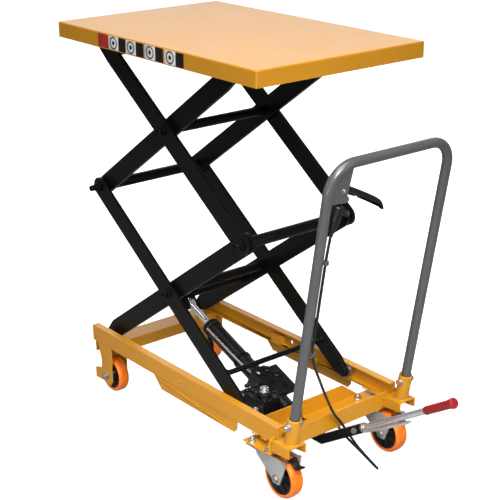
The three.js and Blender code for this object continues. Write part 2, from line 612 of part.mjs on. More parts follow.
const makePlunger = () => {
  const seat = PEDAL_PIVOT_Z + FINGER_RISE + FINGER_RADIUS + FIT_GAP;
  const rod = rodZ(PLUNGER_RADIUS, PLUNGER_X, PLUNGER_Y, seat + 2, 120);
  const head = rodZ(9, PLUNGER_X, PLUNGER_Y, seat, seat + 4, 20);
  return part('pump_plunger', build([rod, head]), chrome);
};

// Bracket hung under the tray's back edge that the pedal's shaft turns in.
const makePedalBracket = () => {
  const ear = new THREE.Shape();
  const top = TRAY_BOTTOM - FIT_GAP;
  const radius = 14;
  ear.absarc(PEDAL_PIVOT_X, PEDAL_PIVOT_Z, radius, Math.PI, Math.PI * 2, false);
  ear.lineTo(TRAY_BACK + 18, top);
  ear.lineTo(PEDAL_PIVOT_X - radius, top);
  addHole(ear, PEDAL_PIVOT_X, PEDAL_PIVOT_Z, PEDAL_SHAFT_RADIUS + RUN_GAP);
  const ears = [-1, 1].map((s) => sidePlate(ear, s * 12.5, 4, 8));
  const bridge = box([PEDAL_PIVOT_X - radius, -14, top - 4], [TRAY_BACK + 18, 14, top]);
  return part('pedal_bracket', build([...ears, bridge]), blackPaint);
};

// Pedal arm with its knee, and the shaft and finger that lift the pump's plunger.
const makePedalArm = () => {
  const halfDepth = 10;
  const halfWidth = 9;
  const hub = rodY(12, 0, 0, -halfWidth, halfWidth, 20);
  const level = box([0, -halfWidth, -halfDepth], [PEDAL_KNEE, halfWidth, halfDepth]);
  const rising = box([-4, -halfWidth, -halfDepth], [PEDAL_ARM_LENGTH, halfWidth, halfDepth]);
  const toKnee = (geometry) => geometry.rotateY(-PEDAL_RISE).translate(PEDAL_KNEE, 0, 0);
  const mouth = toKnee(rodX(7.6, 0, 0, PEDAL_ARM_LENGTH - 45, PEDAL_ARM_LENGTH + 5));
  const fingerHalf = 4;
  const reach = PLUNGER_X - PEDAL_PIVOT_X;
  const shaft = rodY(PEDAL_SHAFT_RADIUS, 0, 0, PLUNGER_Y - fingerHalf, 19);
  const finger = box([reach, PLUNGER_Y - fingerHalf, FINGER_RISE - FINGER_RADIUS],
    [0, PLUNGER_Y + fingerHalf, FINGER_RISE]);
  const tip = rodY(FINGER_RADIUS, reach, FINGER_RISE, PLUNGER_Y - fingerHalf, PLUNGER_Y + fingerHalf);
  return part('pedal_arm', build([hub, level, toKnee(rising), shaft, finger, tip], [mouth]), blackPaint);
};

const makePedalTube = () => {
  const tube = rodX(7, 0, 0, PEDAL_ARM_LENGTH - 44, PEDAL_ARM_LENGTH + PEDAL_TUBE_LENGTH + 70);
  return part('pedal_tube', tube, zinc);
};

const makePedalGrip = () => {
  const start = PEDAL_ARM_LENGTH + PEDAL_TUBE_LENGTH;
  const end = start + PEDAL_GRIP_LENGTH;
  const bore = 7.3;
  const steps = [[start, bore], [start, 9], [start + 8, 9.2], [start + 60, 9.2], [start + 74, GRIP_END_RADIUS],
    [end - 3, GRIP_END_RADIUS + 0.6], [end, GRIP_END_RADIUS], [end, 0], [start + 71, 0], [start + 71, bore],
    [start, bore]];
  return part('pedal_grip', turnedY(steps, 24).rotateZ(-Math.PI / 2), redRubber);
};

const makePedal = () => {
  const pedal = new THREE.Group();
  const rising = new THREE.Group();
  rising.add(makePedalTube(), makePedalGrip());
  rising.position.x = PEDAL_KNEE;
  rising.rotation.y = -PEDAL_RISE;
  pedal.add(makePedalArm(), rising);
  pedal.position.set(PEDAL_PIVOT_X, 0, PEDAL_PIVOT_Z);
  return pedal;
};

// Small lever on the pump's outer side that the cable pulls to let the table down.
const VALVE_X = 212;
const VALVE_Z = 134;

const makeValveLever = () => {
  const lever = new THREE.Shape();
  lever.absarc(VALVE_X, VALVE_Z, 8, 0, Math.PI, false);
  lever.lineTo(VALVE_X - 4, VALVE_Z - 23);
  lever.absarc(VALVE_X, VALVE_Z - 23, 4, Math.PI, Math.PI * 2, false);
  addHole(lever, VALVE_X, VALVE_Z, 4.3);
  return part('release_valve_lever', sidePlate(lever, PUMP_OUTER_Y - 3.4, 4, 8), zinc);
};

const makeValveStem = () => {
  const stem = rodY(4, VALVE_X, VALVE_Z, PUMP_OUTER_Y - 0.4, PUMP_OUTER_Y - 9);
  const nut = rodY(7, VALVE_X, VALVE_Z, PUMP_OUTER_Y - 5.8, PUMP_OUTER_Y - 10, 6);
  return part('release_valve_stem', build([stem, nut]), chrome);
};

// ---------- handle and lowering control ----------
// Handle geometry is drawn upright, then leaned about its feet.
const bend = (centreY, centreZ, start, radius) => {
  const quarter = new THREE.Path();
  quarter.absarc(0, 0, HANDLE_BEND, start, start - Math.PI / 2, true);
  const points = quarter.getPoints(3).map((p) => new THREE.Vector3(0, p.x + centreY, p.y + centreZ));
  const curve = new THREE.CurvePath();
  for (let i = 1; i < points.length; i += 1) {
    curve.add(new THREE.LineCurve3(points[i - 1], points[i]));
  }
  const ring = new THREE.Shape();
  ring.absarc(0, 0, radius, 0, Math.PI * 2, false);
  const sweep = { steps: 6, extrudePath: curve, bevelEnabled: false, curveSegments: 7 };
  return new THREE.ExtrudeGeometry(ring, sweep);
};

const handlePath = (radius, overrun) => {
  const w = HANDLE_HALF_WIDTH;
  const top = HANDLE_LENGTH;
  const r = HANDLE_BEND;
  const legs = [-w, w].map((y) => rodZ(radius, 0, y, -overrun, top - r + 0.5, 14));
  const crossbar = rodY(radius, 0, top, -w + r - 0.5, w - r + 0.5, 14);
  const corners = [bend(-w + r, top - r, Math.PI, radius), bend(w - r, top - r, Math.PI / 2, radius)];
  return join([...legs, crossbar, ...corners]);
};

const makeHandle = () => {
  const wall = handlePath(HANDLE_TUBE, 0);
  return part('handle', toGeometry(wall.subtract(handlePath(HANDLE_TUBE - HANDLE_WALL, 5))), greyPaint);
};

const TRIGGER_Y = -123;
const TRIGGER_Z = 562;

// Plate in the handle's near top corner that carries the lowering lever.
const makeGusset = () => {
  const inside = HANDLE_BEND - HANDLE_TUBE - FIT_GAP;
  const cy = -HANDLE_HALF_WIDTH + HANDLE_BEND;
  const cz = HANDLE_LENGTH - HANDLE_BEND;
  const plate = new THREE.Shape();
  plate.moveTo(cy - inside, 538);
  plate.lineTo(-112, 535);
  plate.quadraticCurveTo(-103, 536, -105, 543);
  plate.lineTo(-111, 550);
  plate.lineTo(cy, cz + inside);
  plate.absarc(cy, cz, inside, Math.PI / 2, Math.PI, false);
  addHole(plate, TRIGGER_Y, TRIGGER_Z, 4.5);
  // drawn in Y and Z
  const body = new THREE.ExtrudeGeometry(plate, { depth: 4, bevelEnabled: false, curveSegments: 8 });
  return part('handle_gusset', body.rotateX(Math.PI / 2).rotateZ(Math.PI / 2).translate(-2, 0, 0), greyPaint);
};

const makeTrigger = () => {
  const y = TRIGGER_Y;
  const z = TRIGGER_Z;
  const lever = new THREE.Shape();
  lever.absarc(y, z, 10, Math.PI * 0.4, Math.PI * 1.6, false);
  lever.lineTo(y + 25, z - 17);
  lever.lineTo(y + 45, z - 25);
  lever.lineTo(y + 89, z - 47);
  lever.quadraticCurveTo(y + 110, z - 54, y + 118, z - 67);
  lever.lineTo(y + 125, z - 70);
  lever.quadraticCurveTo(y + 124, z - 55, y + 112, z - 45);
  lever.lineTo(y + 64, z - 18);
  lever.quadraticCurveTo(y + 40, z - 6, y + 22, z + 2);
  const blade = new THREE.ExtrudeGeometry(lever, { depth: 8, bevelEnabled: false, curveSegments: 8 });
  blade.rotateX(Math.PI / 2).rotateZ(Math.PI / 2).translate(-10.5, 0, 0);
  const pin = rodX(4, y, z, -12.5, 5, 20);
  return part('release_trigger', build([blade, pin]), blackPlastic);
};

const onHandle = (normal, y, along) => new THREE.Vector3(
  HANDLE_FOOT_X + along * Math.sin(HANDLE_LEAN) + normal * Math.cos(HANDLE_LEAN),
  y,
  HANDLE_FOOT_Z + along * Math.cos(HANDLE_LEAN) - normal * Math.sin(HANDLE_LEAN),
);

const CABLE_RADIUS = 2.6;
const UNDER_TRAY = TRAY_BOTTOM - CABLE_RADIUS - 1.2;
const BOOT_TOP = [-2, -128, 530];
const BOOT_END = [6, -145, 472];

const makeCableBoot = () => {
  const top = onHandle(...BOOT_TOP);
  const end = onHandle(...BOOT_END);
  const length = top.distanceTo(end);
  const outline = [[0, 0], [0, 11], [length * 0.55, 10], [length * 0.8, 6], [length, 3.6], [length, 0]];
  const geometry = turnedY(outline, 20);
  const way = end.clone().sub(top).normalize();
  const turn = new THREE.Quaternion().setFromUnitVectors(new THREE.Vector3(0, 1, 0), way);
  const boot = part('cable_boot', geometry, blackPlastic);
  boot.position.copy(top);
  boot.quaternion.copy(turn);
  return boot;
};

// Outer cable: down the near leg, a slack loop outside the tray, then under it to the pump.
const makeCable = () => {
  const end = onHandle(...BOOT_END);
  const start = end.clone().add(end.clone().sub(onHandle(...BOOT_TOP)).normalize().multiplyScalar(0.6));
  const points = [
    start,
    onHandle(10, -151.5, 420),
    onHandle(10, -151.5, 300),
    onHandle(11, -150.5, 212),
    new THREE.Vector3(402, -100, 265),
    new THREE.Vector3(370, -34, 165),
    new THREE.Vector3(358, 0, 126),
    new THREE.Vector3(358, 16, 102),
    new THREE.Vector3(378, 34, 62),
    new THREE.Vector3(404, 52, 28),
    new THREE.Vector3(415, 61, 13),
    new THREE.Vector3(406, 60, 16),
    new THREE.Vector3(382, 42, 46),
    new THREE.Vector3(352, 22, 80),
    new THREE.Vector3(336, 17, 96),
    new THREE.Vector3(320, 9, UNDER_TRAY),
    new THREE.Vector3(300, -14, UNDER_TRAY),
    new THREE.Vector3(286, -60, UNDER_TRAY),
    new THREE.Vector3(264, -90, UNDER_TRAY),
    new THREE.Vector3(240, -116, UNDER_TRAY),
  ];
  const curve = new THREE.CatmullRomCurve3(points, false, 'centripetal');
  const ring = new THREE.Shape();
  ring.absarc(0, 0, CABLE_RADIUS, 0, Math.PI * 2, false);
  const sweep = { steps: 56, extrudePath: curve, bevelEnabled: false, curveSegments: 3 };
  const body = new THREE.ExtrudeGeometry(ring, sweep);
  return part('release_cable', body, blackPlastic);
};

const makeHandleGroup = () => {
  const handle = new THREE.Group();
  handle.add(makeHandle(), makeGusset(), makeTrigger());
  handle.position.set(HANDLE_FOOT_X, 0, HANDLE_FOOT_Z);
  handle.rotation.y = HANDLE_LEAN;
  return handle;
};

// ---------- assembly ----------
const table = new THREE.Group();
for (const [label, side] of SIDES) {
  table.add(makeRail(`rail_${label}`, side));
  table.add(makeHandleSocket(`handle_socket_${label}`, side));
  table.add(makeFixedFork(`fixed_fork_${label}`, side));
  table.add(placeWheel(`fixed_wheel_${label}`, FIXED_WHEEL_X, side * FIXED_WHEEL_Y, WHEEL_RADIUS, WHEEL_WIDTH));
  table.add(makeCasterPlate(`caster_plate_${label}`, side));
  table.add(makeCasterFork(`caster_fork_${label}`, side));
  table.add(makeCasterBrake(`caster_brake_${label}`, side));
  table.add(placeWheel(`caster_wheel_${label}`, CASTER_PIVOT_X + CASTER_TRAIL, side * CASTER_Y,
    CASTER_WHEEL_RADIUS, CASTER_WHEEL_WIDTH));
  table.add(makePlatformTrack(`platform_track_${label}`, side));
}
addScissors(table);
table.add(makeRearCrossMember(), makeCasterTray(), makePlatform(), makeRam());
table.add(toLowerOuter(makeTie('lower_tie_bar', 6, 86, -16)));
table.add(toUpperOuter(makeTie('upper_tie_bar', 7.5, 80, -8)));
table.add(toLowerInner(makeRamCrossbar()), makeRamCradle());
table.add(makePumpBlock(), makePlunger(), makePedalBracket(), makePedal(), makeValveLever(), makeValveStem());
table.add(makeHandleGroup(), makeCableBoot(), makeCable());
table.position.x = -FRAME_CENTRE_X;

const liftTable = new THREE.Group();
liftTable.add(table);

export default liftTable;
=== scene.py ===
"""Looks of the foot-pumped scissor lift table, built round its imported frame."""

import json
import math

import bmesh
import bpy
from mathutils import Matrix, Vector


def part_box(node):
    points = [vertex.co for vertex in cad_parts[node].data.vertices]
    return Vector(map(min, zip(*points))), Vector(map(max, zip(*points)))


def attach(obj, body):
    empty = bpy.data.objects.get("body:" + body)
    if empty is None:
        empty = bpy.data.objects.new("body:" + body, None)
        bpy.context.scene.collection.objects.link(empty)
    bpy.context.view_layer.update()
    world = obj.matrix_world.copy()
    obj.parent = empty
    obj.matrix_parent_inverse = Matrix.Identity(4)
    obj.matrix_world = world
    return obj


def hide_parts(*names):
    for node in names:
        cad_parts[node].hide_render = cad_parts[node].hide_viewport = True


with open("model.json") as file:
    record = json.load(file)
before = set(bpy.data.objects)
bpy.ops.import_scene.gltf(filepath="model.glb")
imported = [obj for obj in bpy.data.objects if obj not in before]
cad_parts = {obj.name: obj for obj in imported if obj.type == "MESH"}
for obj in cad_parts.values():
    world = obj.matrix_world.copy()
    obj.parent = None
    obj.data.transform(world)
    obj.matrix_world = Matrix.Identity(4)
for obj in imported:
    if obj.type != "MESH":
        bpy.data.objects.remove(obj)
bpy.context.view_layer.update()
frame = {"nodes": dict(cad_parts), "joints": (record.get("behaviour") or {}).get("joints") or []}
JOINTS = {joint["name"]: joint for joint in frame["joints"]}
MM = 0.001
X_AXIS, Y_AXIS, Z_AXIS = Vector((1, 0, 0)), Vector((0, 1, 0)), Vector((0, 0, 1))
SIDES = (("near", -1), ("far", 1))
FINE_ROUND, SMALL_ROUND = 64, 32  # segments round a turned part


def middle(node):
    low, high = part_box(node)
    return (low + high) / 2


def half_size(node):
    """Half of a frame part's size along each axis, in millimetres."""
    low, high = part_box(node)
    return (high - low) / 2 / MM


def joint_at(name):
    return Vector(JOINTS[name]["pos_m"])


TABLE_X = middle("platform").x


def at(x, y, z):
    """A point in millimetres from the floor under the middle of the platform."""
    return Vector((TABLE_X + x * MM, y * MM, z * MM))


# ---------- materials ----------
class Graph:
    """One node material, built up from short calls."""

    def __init__(self, name):
        self.material = bpy.data.materials.new(name)
        self.material.use_nodes = True
        self.tree = self.material.node_tree
        self.tree.nodes.clear()
        output = self.add("ShaderNodeOutputMaterial")
        self.surface = self.add("ShaderNodeBsdfPrincipled")
        self.join(self.surface.outputs["BSDF"], output.inputs["Surface"])
        self.place = self.add("ShaderNodeTexCoord").outputs["Object"]

    def add(self, kind, **settings):
        node = self.tree.nodes.new(kind)
        for key, value in settings.items():
            setattr(node, key, value)
        return node

    def join(self, source, target):
        self.tree.links.new(source, target)

    def feed(self, value, socket):
        """Sets a socket to a value, or links it when the value is another node's output."""
        if hasattr(value, "links"):
            self.join(value, socket)
        else:
            socket.default_value = value

    def set(self, node, **values):
        """Feeds the sockets named by the keywords, with _ for a space."""
        for key, value in values.items():
            self.feed(value, node.inputs[key.replace("_", " ")])
        return node

    def noise(self, scale, detail):
        node = self.add("ShaderNodeTexNoise")
        self.set(node, Vector=self.place, Scale=scale, Detail=detail, Roughness=0.6)
        return node.outputs["Fac"]

    def steps(self, value, low, high):
        """0 below low, 1 above high, eased between."""
        node = self.add("ShaderNodeMapRange", interpolation_type="SMOOTHSTEP")
        node.inputs[1].default_value = low
        node.inputs[2].default_value = high
        self.join(value, node.inputs[0])
        return node.outputs[0]

    def range(self, value, low, high):
        """A 0 to 1 value spread over low to high."""
        node = self.add("ShaderNodeMapRange")
        node.inputs[3].default_value = low
        node.inputs[4].default_value = high
        self.join(value, node.inputs[0])
        return node.outputs[0]

    def math(self, operation, first, second):
        node = self.add("ShaderNodeMath", operation=operation, use_clamp=True)
        self.feed(first, node.inputs[0])
        self.feed(second, node.inputs[1])
        return node.outputs[0]

    def mix(self, factor, first, second):
        node = self.add("ShaderNodeMix", data_type="RGBA")
        for index, value in ((0, factor), (6, first), (7, second)):
            self.feed(value, node.inputs[index])
        return node.outputs[2]

    def edges(self, radius):
        """1 along sharp edges, 0 on flat faces."""
        bevel = self.set(self.add("ShaderNodeBevel", samples=6), Radius=radius)
        face = self.add("ShaderNodeNewGeometry").outputs["Normal"]
        dot = self.add("ShaderNodeVectorMath", operation="DOT_PRODUCT")
        self.join(bevel.outputs[0], dot.inputs[0])
        self.join(face, dot.inputs[1])
        return self.math("SUBTRACT", 1.0, dot.outputs["Value"])

    def bump(self, layers):
        """layers: (height, strength, distance in metres), coarse to fine."""
        normal = None
        for height, strength, distance in layers:
            node = self.add("ShaderNodeBump")
            self.set(node, Height=height, Strength=strength, Distance=distance)
            if normal:
                self.join(normal, node.inputs["Normal"])
            normal = node.outputs[0]
        self.join(normal, self.surface.inputs["Normal"])


def shade(colour, amount):
    return tuple(min(1.0, c * amount) for c in colour[:3]) + (1.0,)


def painted(name, colour, edge_wear_and_highlight_colour, roughness, peel, edge_radius, edge_wear_and_highlight_amount, coat=0.0, metallic=0.0, specular=0.5):
    """Paint or powder coat: slow colour drift, specks, orange peel, dull patches, and edges lightened partly
    by wear, partly as a painted highlight.
    """
    g = Graph(name)
    drift = g.noise(7.0, 4.0)
    tone = g.mix(g.steps(drift, 0.3, 0.7), shade(colour, 0.965), shade(colour, 1.03))
    speck = g.steps(g.noise(420.0, 2.0), 0.66, 0.72)
    tone = g.mix(g.math("MULTIPLY", speck, 0.12), tone, shade(colour, 0.6))
    # Lighter colour along sharp edges: partly paint worn thin, partly a painted highlight.
    edge_wear_and_highlight = g.steps(g.edges(edge_radius), 0.05, 0.3)
    edge_wear_and_highlight = g.math("MULTIPLY", edge_wear_and_highlight, g.range(g.noise(60.0, 4.0), 0.35, 1.0))
    edge_wear_and_highlight = g.math("MULTIPLY", edge_wear_and_highlight, edge_wear_and_highlight_amount)
    scuff = g.steps(g.noise(14.0, 5.0), 0.35, 0.75)
    rough = g.range(scuff, roughness * 0.94, roughness * 1.07)
    g.set(g.surface, Base_Color=g.mix(edge_wear_and_highlight, tone, edge_wear_and_highlight_colour), Roughness=rough, Metallic=metallic)
    g.set(g.surface, Specular_IOR_Level=specular, Coat_Weight=coat, Coat_Roughness=0.12)
    g.bump([(g.noise(240.0, 2.0), peel, 0.0004), (g.noise(1100.0, 2.0), peel * 0.5, 0.00012)])
    return g.material


def metal(name, colour, tarnish, roughness, grain, metallic, stained=0.55):
    """Plated or bare metal with a fine grain, stains and a painted highlight that lightens its edges."""
    g = Graph(name)
    stain = g.steps(g.noise(55.0, 5.0), 0.4, 0.72)
    tone = g.mix(g.math("MULTIPLY", stain, stained), colour, tarnish)
    # Painted highlight: the colour turns lighter along sharp edges.
    painted_edge_highlight = g.math("MULTIPLY", g.steps(g.edges(0.0008), 0.05, 0.35), 0.5)
    g.set(g.surface, Base_Color=g.mix(painted_edge_highlight, tone, shade(colour, 1.25)), Metallic=metallic)
    lines = g.noise(700.0 if grain else 30.0, 3.0)
    dull = g.math("ADD", g.math("MULTIPLY", lines, 0.6), g.math("MULTIPLY", stain, 0.7 * stained))
    g.set(g.surface, Roughness=g.range(dull, roughness * 0.8, roughness * 1.4))
    g.bump([(lines, grain, 0.0001)])
    return g.material


def moulded(name, colour, roughness, grain, scale, coat=0.0, edge_wear_and_highlight=1.6):
    """Moulded plastic or polyurethane: cloudy colour, fine texture, and edges lightened partly by rubbing,
    partly as a painted highlight.
    """
    g = Graph(name)
    cloud = g.noise(28.0, 4.0)
    tone = g.mix(g.steps(cloud, 0.35, 0.7), shade(colour, 0.86), shade(colour, 1.1))
    # Lighter colour along sharp edges: partly rubbed wear, partly a painted highlight.
    edge_wear_and_highlight_mask = g.math("MULTIPLY", g.steps(g.edges(0.001), 0.06, 0.4), 0.6)
    g.set(g.surface, Base_Color=g.mix(edge_wear_and_highlight_mask, tone, shade(colour, edge_wear_and_highlight)), Coat_Weight=coat, Coat_Roughness=0.2)
    g.set(g.surface, Roughness=g.range(g.noise(90.0, 4.0), roughness * 0.8, roughness * 1.25))
    g.bump([(g.noise(scale, 2.0), grain, 0.00025)])
    return g.material


def dimpled_grip(name, colour):
    """Soft rubber grip with a fine knurl of small cells."""
    g = Graph(name)
    cells = g.add("ShaderNodeTexVoronoi", feature="F1")
    g.set(cells, Vector=g.place, Scale=520.0)
    tone = g.mix(g.steps(g.noise(35.0, 4.0), 0.35, 0.7), shade(colour, 0.85), shade(colour, 1.12))
    raised = g.math("MULTIPLY", cells.outputs["Distance"], 0.35)
    g.set(g.surface, Base_Color=g.mix(raised, tone, shade(colour, 1.5)), Coat_Weight=0.15)
    g.set(g.surface, Roughness=g.range(g.noise(80.0, 3.0), 0.4, 0.6))
    g.bump([(cells.outputs["Distance"], 0.25, 0.0004)])
    return g.material


def floor_finish(name):
    """Pale studio floor: seen as near white, but a calmer grey to the light that bounces off it."""
    g = Graph(name)
    tone = g.mix(g.noise(1.2, 3.0), (0.80, 0.80, 0.80, 1), (0.83, 0.83, 0.83, 1))
    rays = g.add("ShaderNodeLightPath").outputs["Is Camera Ray"]
    place = g.add("ShaderNodeNewGeometry").outputs["Position"]
    away = g.add("ShaderNodeVectorMath", operation="LENGTH")
    g.join(place, away.inputs[0])
    glow = g.range(g.steps(away.outputs["Value"], 0.5, 1.6), 0.80, 1.0)
    g.set(g.surface, Base_Color=g.mix(rays, (0.35, 0.35, 0.35, 1), tone))
    g.set(g.surface, Roughness=0.9, Specular_IOR_Level=0.1)
    g.set(g.surface, Emission_Color=(1, 1, 1, 1), Emission_Strength=g.math("MULTIPLY", rays, glow))
    return g.material


OCHRE = (0.60, 0.262, 0.011, 1)
BLACK = (0.0040, 0.0040, 0.0043, 1)
STEEL_GREY = (0.108, 0.110, 0.113, 1)
ZINC_STAIN = (0.42, 0.41, 0.40, 1)
# The second colour of each painted finish lightens its edges: partly wear, partly a painted highlight.
materials = {
    "orange_paint": painted("ochre_powder_coat", OCHRE, (0.86, 0.50, 0.10, 1), roughness=0.36, peel=0.10,
                            edge_radius=0.0022, edge_wear_and_highlight_amount=0.5, coat=0.05),
    "black_paint": painted("black_enamel", BLACK, (0.12, 0.12, 0.12, 1), roughness=0.3, peel=0.08,
                           edge_radius=0.0012, edge_wear_and_highlight_amount=0.5, specular=0.16),
    "cast_black": painted("black_casting", BLACK, (0.05, 0.05, 0.052, 1), roughness=0.36, peel=0.6,
                          edge_radius=0.0014, edge_wear_and_highlight_amount=0.5, coat=0.1, specular=0.4),
    "grey_paint": painted("grey_enamel", STEEL_GREY, (0.30, 0.305, 0.31, 1), roughness=0.3, peel=0.06,
                          edge_radius=0.0014, edge_wear_and_highlight_amount=0.4, coat=0.3, metallic=0.3),
    "pressed_zinc": metal("zinc_pressing", (0.50, 0.50, 0.49, 1), ZINC_STAIN, roughness=0.32, grain=0.05,
                          metallic=0.5),
    "zinc": metal("zinc_plate", (0.60, 0.60, 0.60, 1), ZINC_STAIN, roughness=0.24, grain=0.08, metallic=0.9),
    "bare_steel": metal("dull_steel", (0.46, 0.45, 0.44, 1), (0.26, 0.23, 0.20, 1), roughness=0.3, grain=0.15,
                        metallic=0.9),
    "chrome": metal("hard_chrome", (0.80, 0.81, 0.83, 1), (0.66, 0.67, 0.69, 1), roughness=0.2, grain=0.0,
                    metallic=0.75, stained=0.08),
    "bright_tube": metal("drawn_bright_tube", (0.74, 0.75, 0.76, 1), (0.56, 0.56, 0.56, 1), roughness=0.24,
                         grain=0.0, metallic=0.8, stained=0.1),
    "orange_tyre": moulded("polyurethane_tread", (0.98, 0.20, 0.004, 1), roughness=0.34, grain=0.05,
                           scale=500.0, coat=0.2, edge_wear_and_highlight=1.05),
    "wheel_core": moulded("black_nylon", (0.0035, 0.0035, 0.004, 1), roughness=0.45, grain=0.2, scale=900.0,
                          edge_wear_and_highlight=3.0),
    "black_plastic": moulded("black_moulding", (0.0045, 0.0045, 0.005, 1), roughness=0.34, grain=0.2,
                             scale=1200.0, edge_wear_and_highlight=3.0),
    "red_rubber": dimpled_grip("red_grip", (0.26, 0.004, 0.008, 1)),
    "mark_red": moulded("red_marking", (0.42, 0.02, 0.016, 1), roughness=0.35, grain=0.05, scale=900.0),
    "mark_white": moulded("white_marking", (0.78, 0.77, 0.75, 1), roughness=0.35, grain=0.05, scale=900.0,
                          edge_wear_and_highlight=1.0),
}


# ---------- mesh helpers ----------
def show(name, shapes, finish, body, stands_for=(), smooth=35.0):
    """A new piece from (points, faces) shapes, painted, riding on its body."""
    mesh = to_mesh(name, shapes)
    mesh.materials.append(materials[finish])
    mesh.shade_smooth()
    mesh.set_sharp_from_angle(angle=math.radians(smooth))
    obj = bpy.data.objects.new(name, mesh)
    bpy.context.scene.collection.objects.link(obj)
    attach(obj, body)
    if stands_for:
        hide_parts(*stands_for)
    return obj


def to_mesh(name, shapes):
    """One mesh from several (points, faces) shapes."""
    points, faces = [], []
    for shape_points, shape_faces in shapes:
        start = len(points)
        points += [tuple(p) for p in shape_points]
        faces += [tuple(start + i for i in face) for face in shape_faces]
    mesh = bpy.data.meshes.new(name)
    mesh.from_pydata(points, [], faces)
    work = bmesh.new()
    work.from_mesh(mesh)
    bmesh.ops.remove_doubles(work, verts=work.verts, dist=1e-6)
    bmesh.ops.recalc_face_normals(work, faces=work.faces)
    work.to_mesh(mesh)
    work.free()
    return mesh


def even_normals(obj):
    """Keeps large flat faces flat where they meet rounded edges."""
    even = obj.modifiers.new("even_normals", "WEIGHTED_NORMAL")
    even.keep_sharp = True
    even.weight = 90


def across(axis):
    """Two directions at right angles to an axis."""
    axis = axis.normalized()
    helper = Z_AXIS if abs(axis.z) < 0.9 else X_AXIS
    u = axis.cross(helper).normalized()
    return u, axis.cross(u).normalized()


def spoke(u, v, angle):
    """The direction at an angle from u towards v."""
    return u * math.cos(angle) + v * math.sin(angle)


def round_angles(count):
    return [2 * math.pi * i / count for i in range(count)]


def skinned(rings, capped=True):
    """A surface over rings of points, its end rings filled in if capped. A ring of one point is a tip."""
    points, faces, indices = [], [], []
    for ring in rings:
        indices.append(range(len(points), len(points) + len(ring)))
        points += ring
    for low, high in zip(indices, indices[1:]):
        for i in range(max(len(low), len(high))):
            j = i + 1
            corners = (low[i % len(low)], low[j % len(low)], high[j % len(high)], high[i % len(high)])
            face = tuple(dict.fromkeys(corners))
            if len(face) > 2:
                faces.append(face)
    if capped:
        faces += [tuple(reversed(indices[0])), tuple(indices[-1])]
    return points, faces


def eased(before, corner, after, radius, share, steps):
    """A curve in place of a corner, starting a radius or a share of the shorter edge away from it."""
    b, c, a = Vector(before), Vector(corner), Vector(after)
    r = min(radius, (b - c).length * share, (a - c).length * share)
    if r < 1e-4:
        return [tuple(c)]
    start = c + (b - c).normalized() * r
    end = c + (a - c).normalized() * r
    curve = []
    for i in range(steps + 1):
        t = i / steps
        curve.append(tuple(start * (1 - t) ** 2 + c * 2 * t * (1 - t) + end * t ** 2))
    return curve


def softened(profile, radius):
    """A profile of (along, radius) points with its inner corners rounded."""
    result = [profile[0]]
    for before, corner, after in zip(profile, profile[1:], profile[2:]):
        result += eased(before, corner, after, radius, 0.45, 3)
    return [*result, profile[-1]]


def rounded(corners, steps=5):
    """An outline from (x, y, corner radius) points."""
    result = []
    for i, (x, y, radius) in enumerate(corners):
        before, after = corners[i - 1][:2], corners[(i + 1) % len(corners)][:2]
        result += eased(before, (x, y), after, radius, 0.48, steps)
    return result


def rectangle(half_x, half_y, radius, steps):
    """A rounded rectangle's outline, centred on zero."""
    return rounded([(-half_x, -half_y, radius), (half_x, -half_y, radius), (half_x, half_y, radius),
                    (-half_x, half_y, radius)], steps)


def turned(centre, axis, profile, rounding=0.6, segments=FINE_ROUND, wave=None):
    """A turned shape from (along, radius) steps in millimetres; wave changes the radius round it."""
    axis = axis.normalized()
    u, v = across(axis)
    rings = []
    for along, radius in softened(profile, rounding):
        base = centre + axis * along * MM
        if radius < 1e-4:
            rings.append([base])
            continue
        ring = []
        for angle in round_angles(segments):
            scale = wave(angle, along) if wave else 1
            ring.append(base + spoke(u, v, angle) * radius * MM * scale)
        rings.append(ring)
    return skinned(rings, capped=False)


def closed(profile):
    """A ring profile, closed on itself for a part with a bore."""
    return [*profile, profile[0]]


def mirrored(half_profile):
    """A whole profile from its half, which runs from the middle out along the axis."""
    return [(-along, radius) for along, radius in reversed(half_profile)] + half_profile


HEX_SIDES = 6


def prism(centre, axis, across_flats, height, chamfer=0.6, spin=0.0):
    """A hex head or nut with its outer corners turned off."""
    axis = axis.normalized()
    u, v = across(axis)
    corner = across_flats / 2 / math.cos(math.pi / HEX_SIDES)
    sector = 2 * math.pi / HEX_SIDES
    rings = []
    for level, largest in ((0, corner), (height - chamfer, corner), (height, corner * 0.93),
                           (height, corner * 0.36)):
        ring = []
        for angle in round_angles(HEX_SIDES * 4):
            side = across_flats / 2 / math.cos(angle % sector - sector / 2)
            ring.append(centre + (axis * level + spoke(u, v, angle + spin) * min(side, largest)) * MM)
        rings.append(ring)
    return skinned(rings)


def washer(centre, axis, radius, thickness, bore):
    ring = closed([(0, bore), (0, radius), (thickness, radius), (thickness, bore)])
    return turned(centre, axis, ring, 0.3, SMALL_ROUND)


def nut(seat, axis, washer_size, across_flats, height, chamfer=0.6, spin=0.0):
    """A hex head or nut on its washer, whose size is (radius, thickness, bore)."""
    top = seat + axis * washer_size[1] * MM
    return [washer(seat, axis, *washer_size), prism(top, axis, across_flats, height, chamfer, spin)]


def thread(centre, axis, radius, start, end, pitch=1.4):
    """A threaded shank end: a row of small ridges with a chamfered tip."""
    profile = [(start, 0), (start, radius)]
    along = start
    while along + pitch < end - 1:
        profile += [(along + pitch / 2, radius - 0.55), (along + pitch, radius)]
        along += pitch
    profile += [(end - 0.4, radius - 0.9), (end, radius - 1.3), (end, 0)]
    return turned(centre, axis, profile, 0.12, SMALL_ROUND)


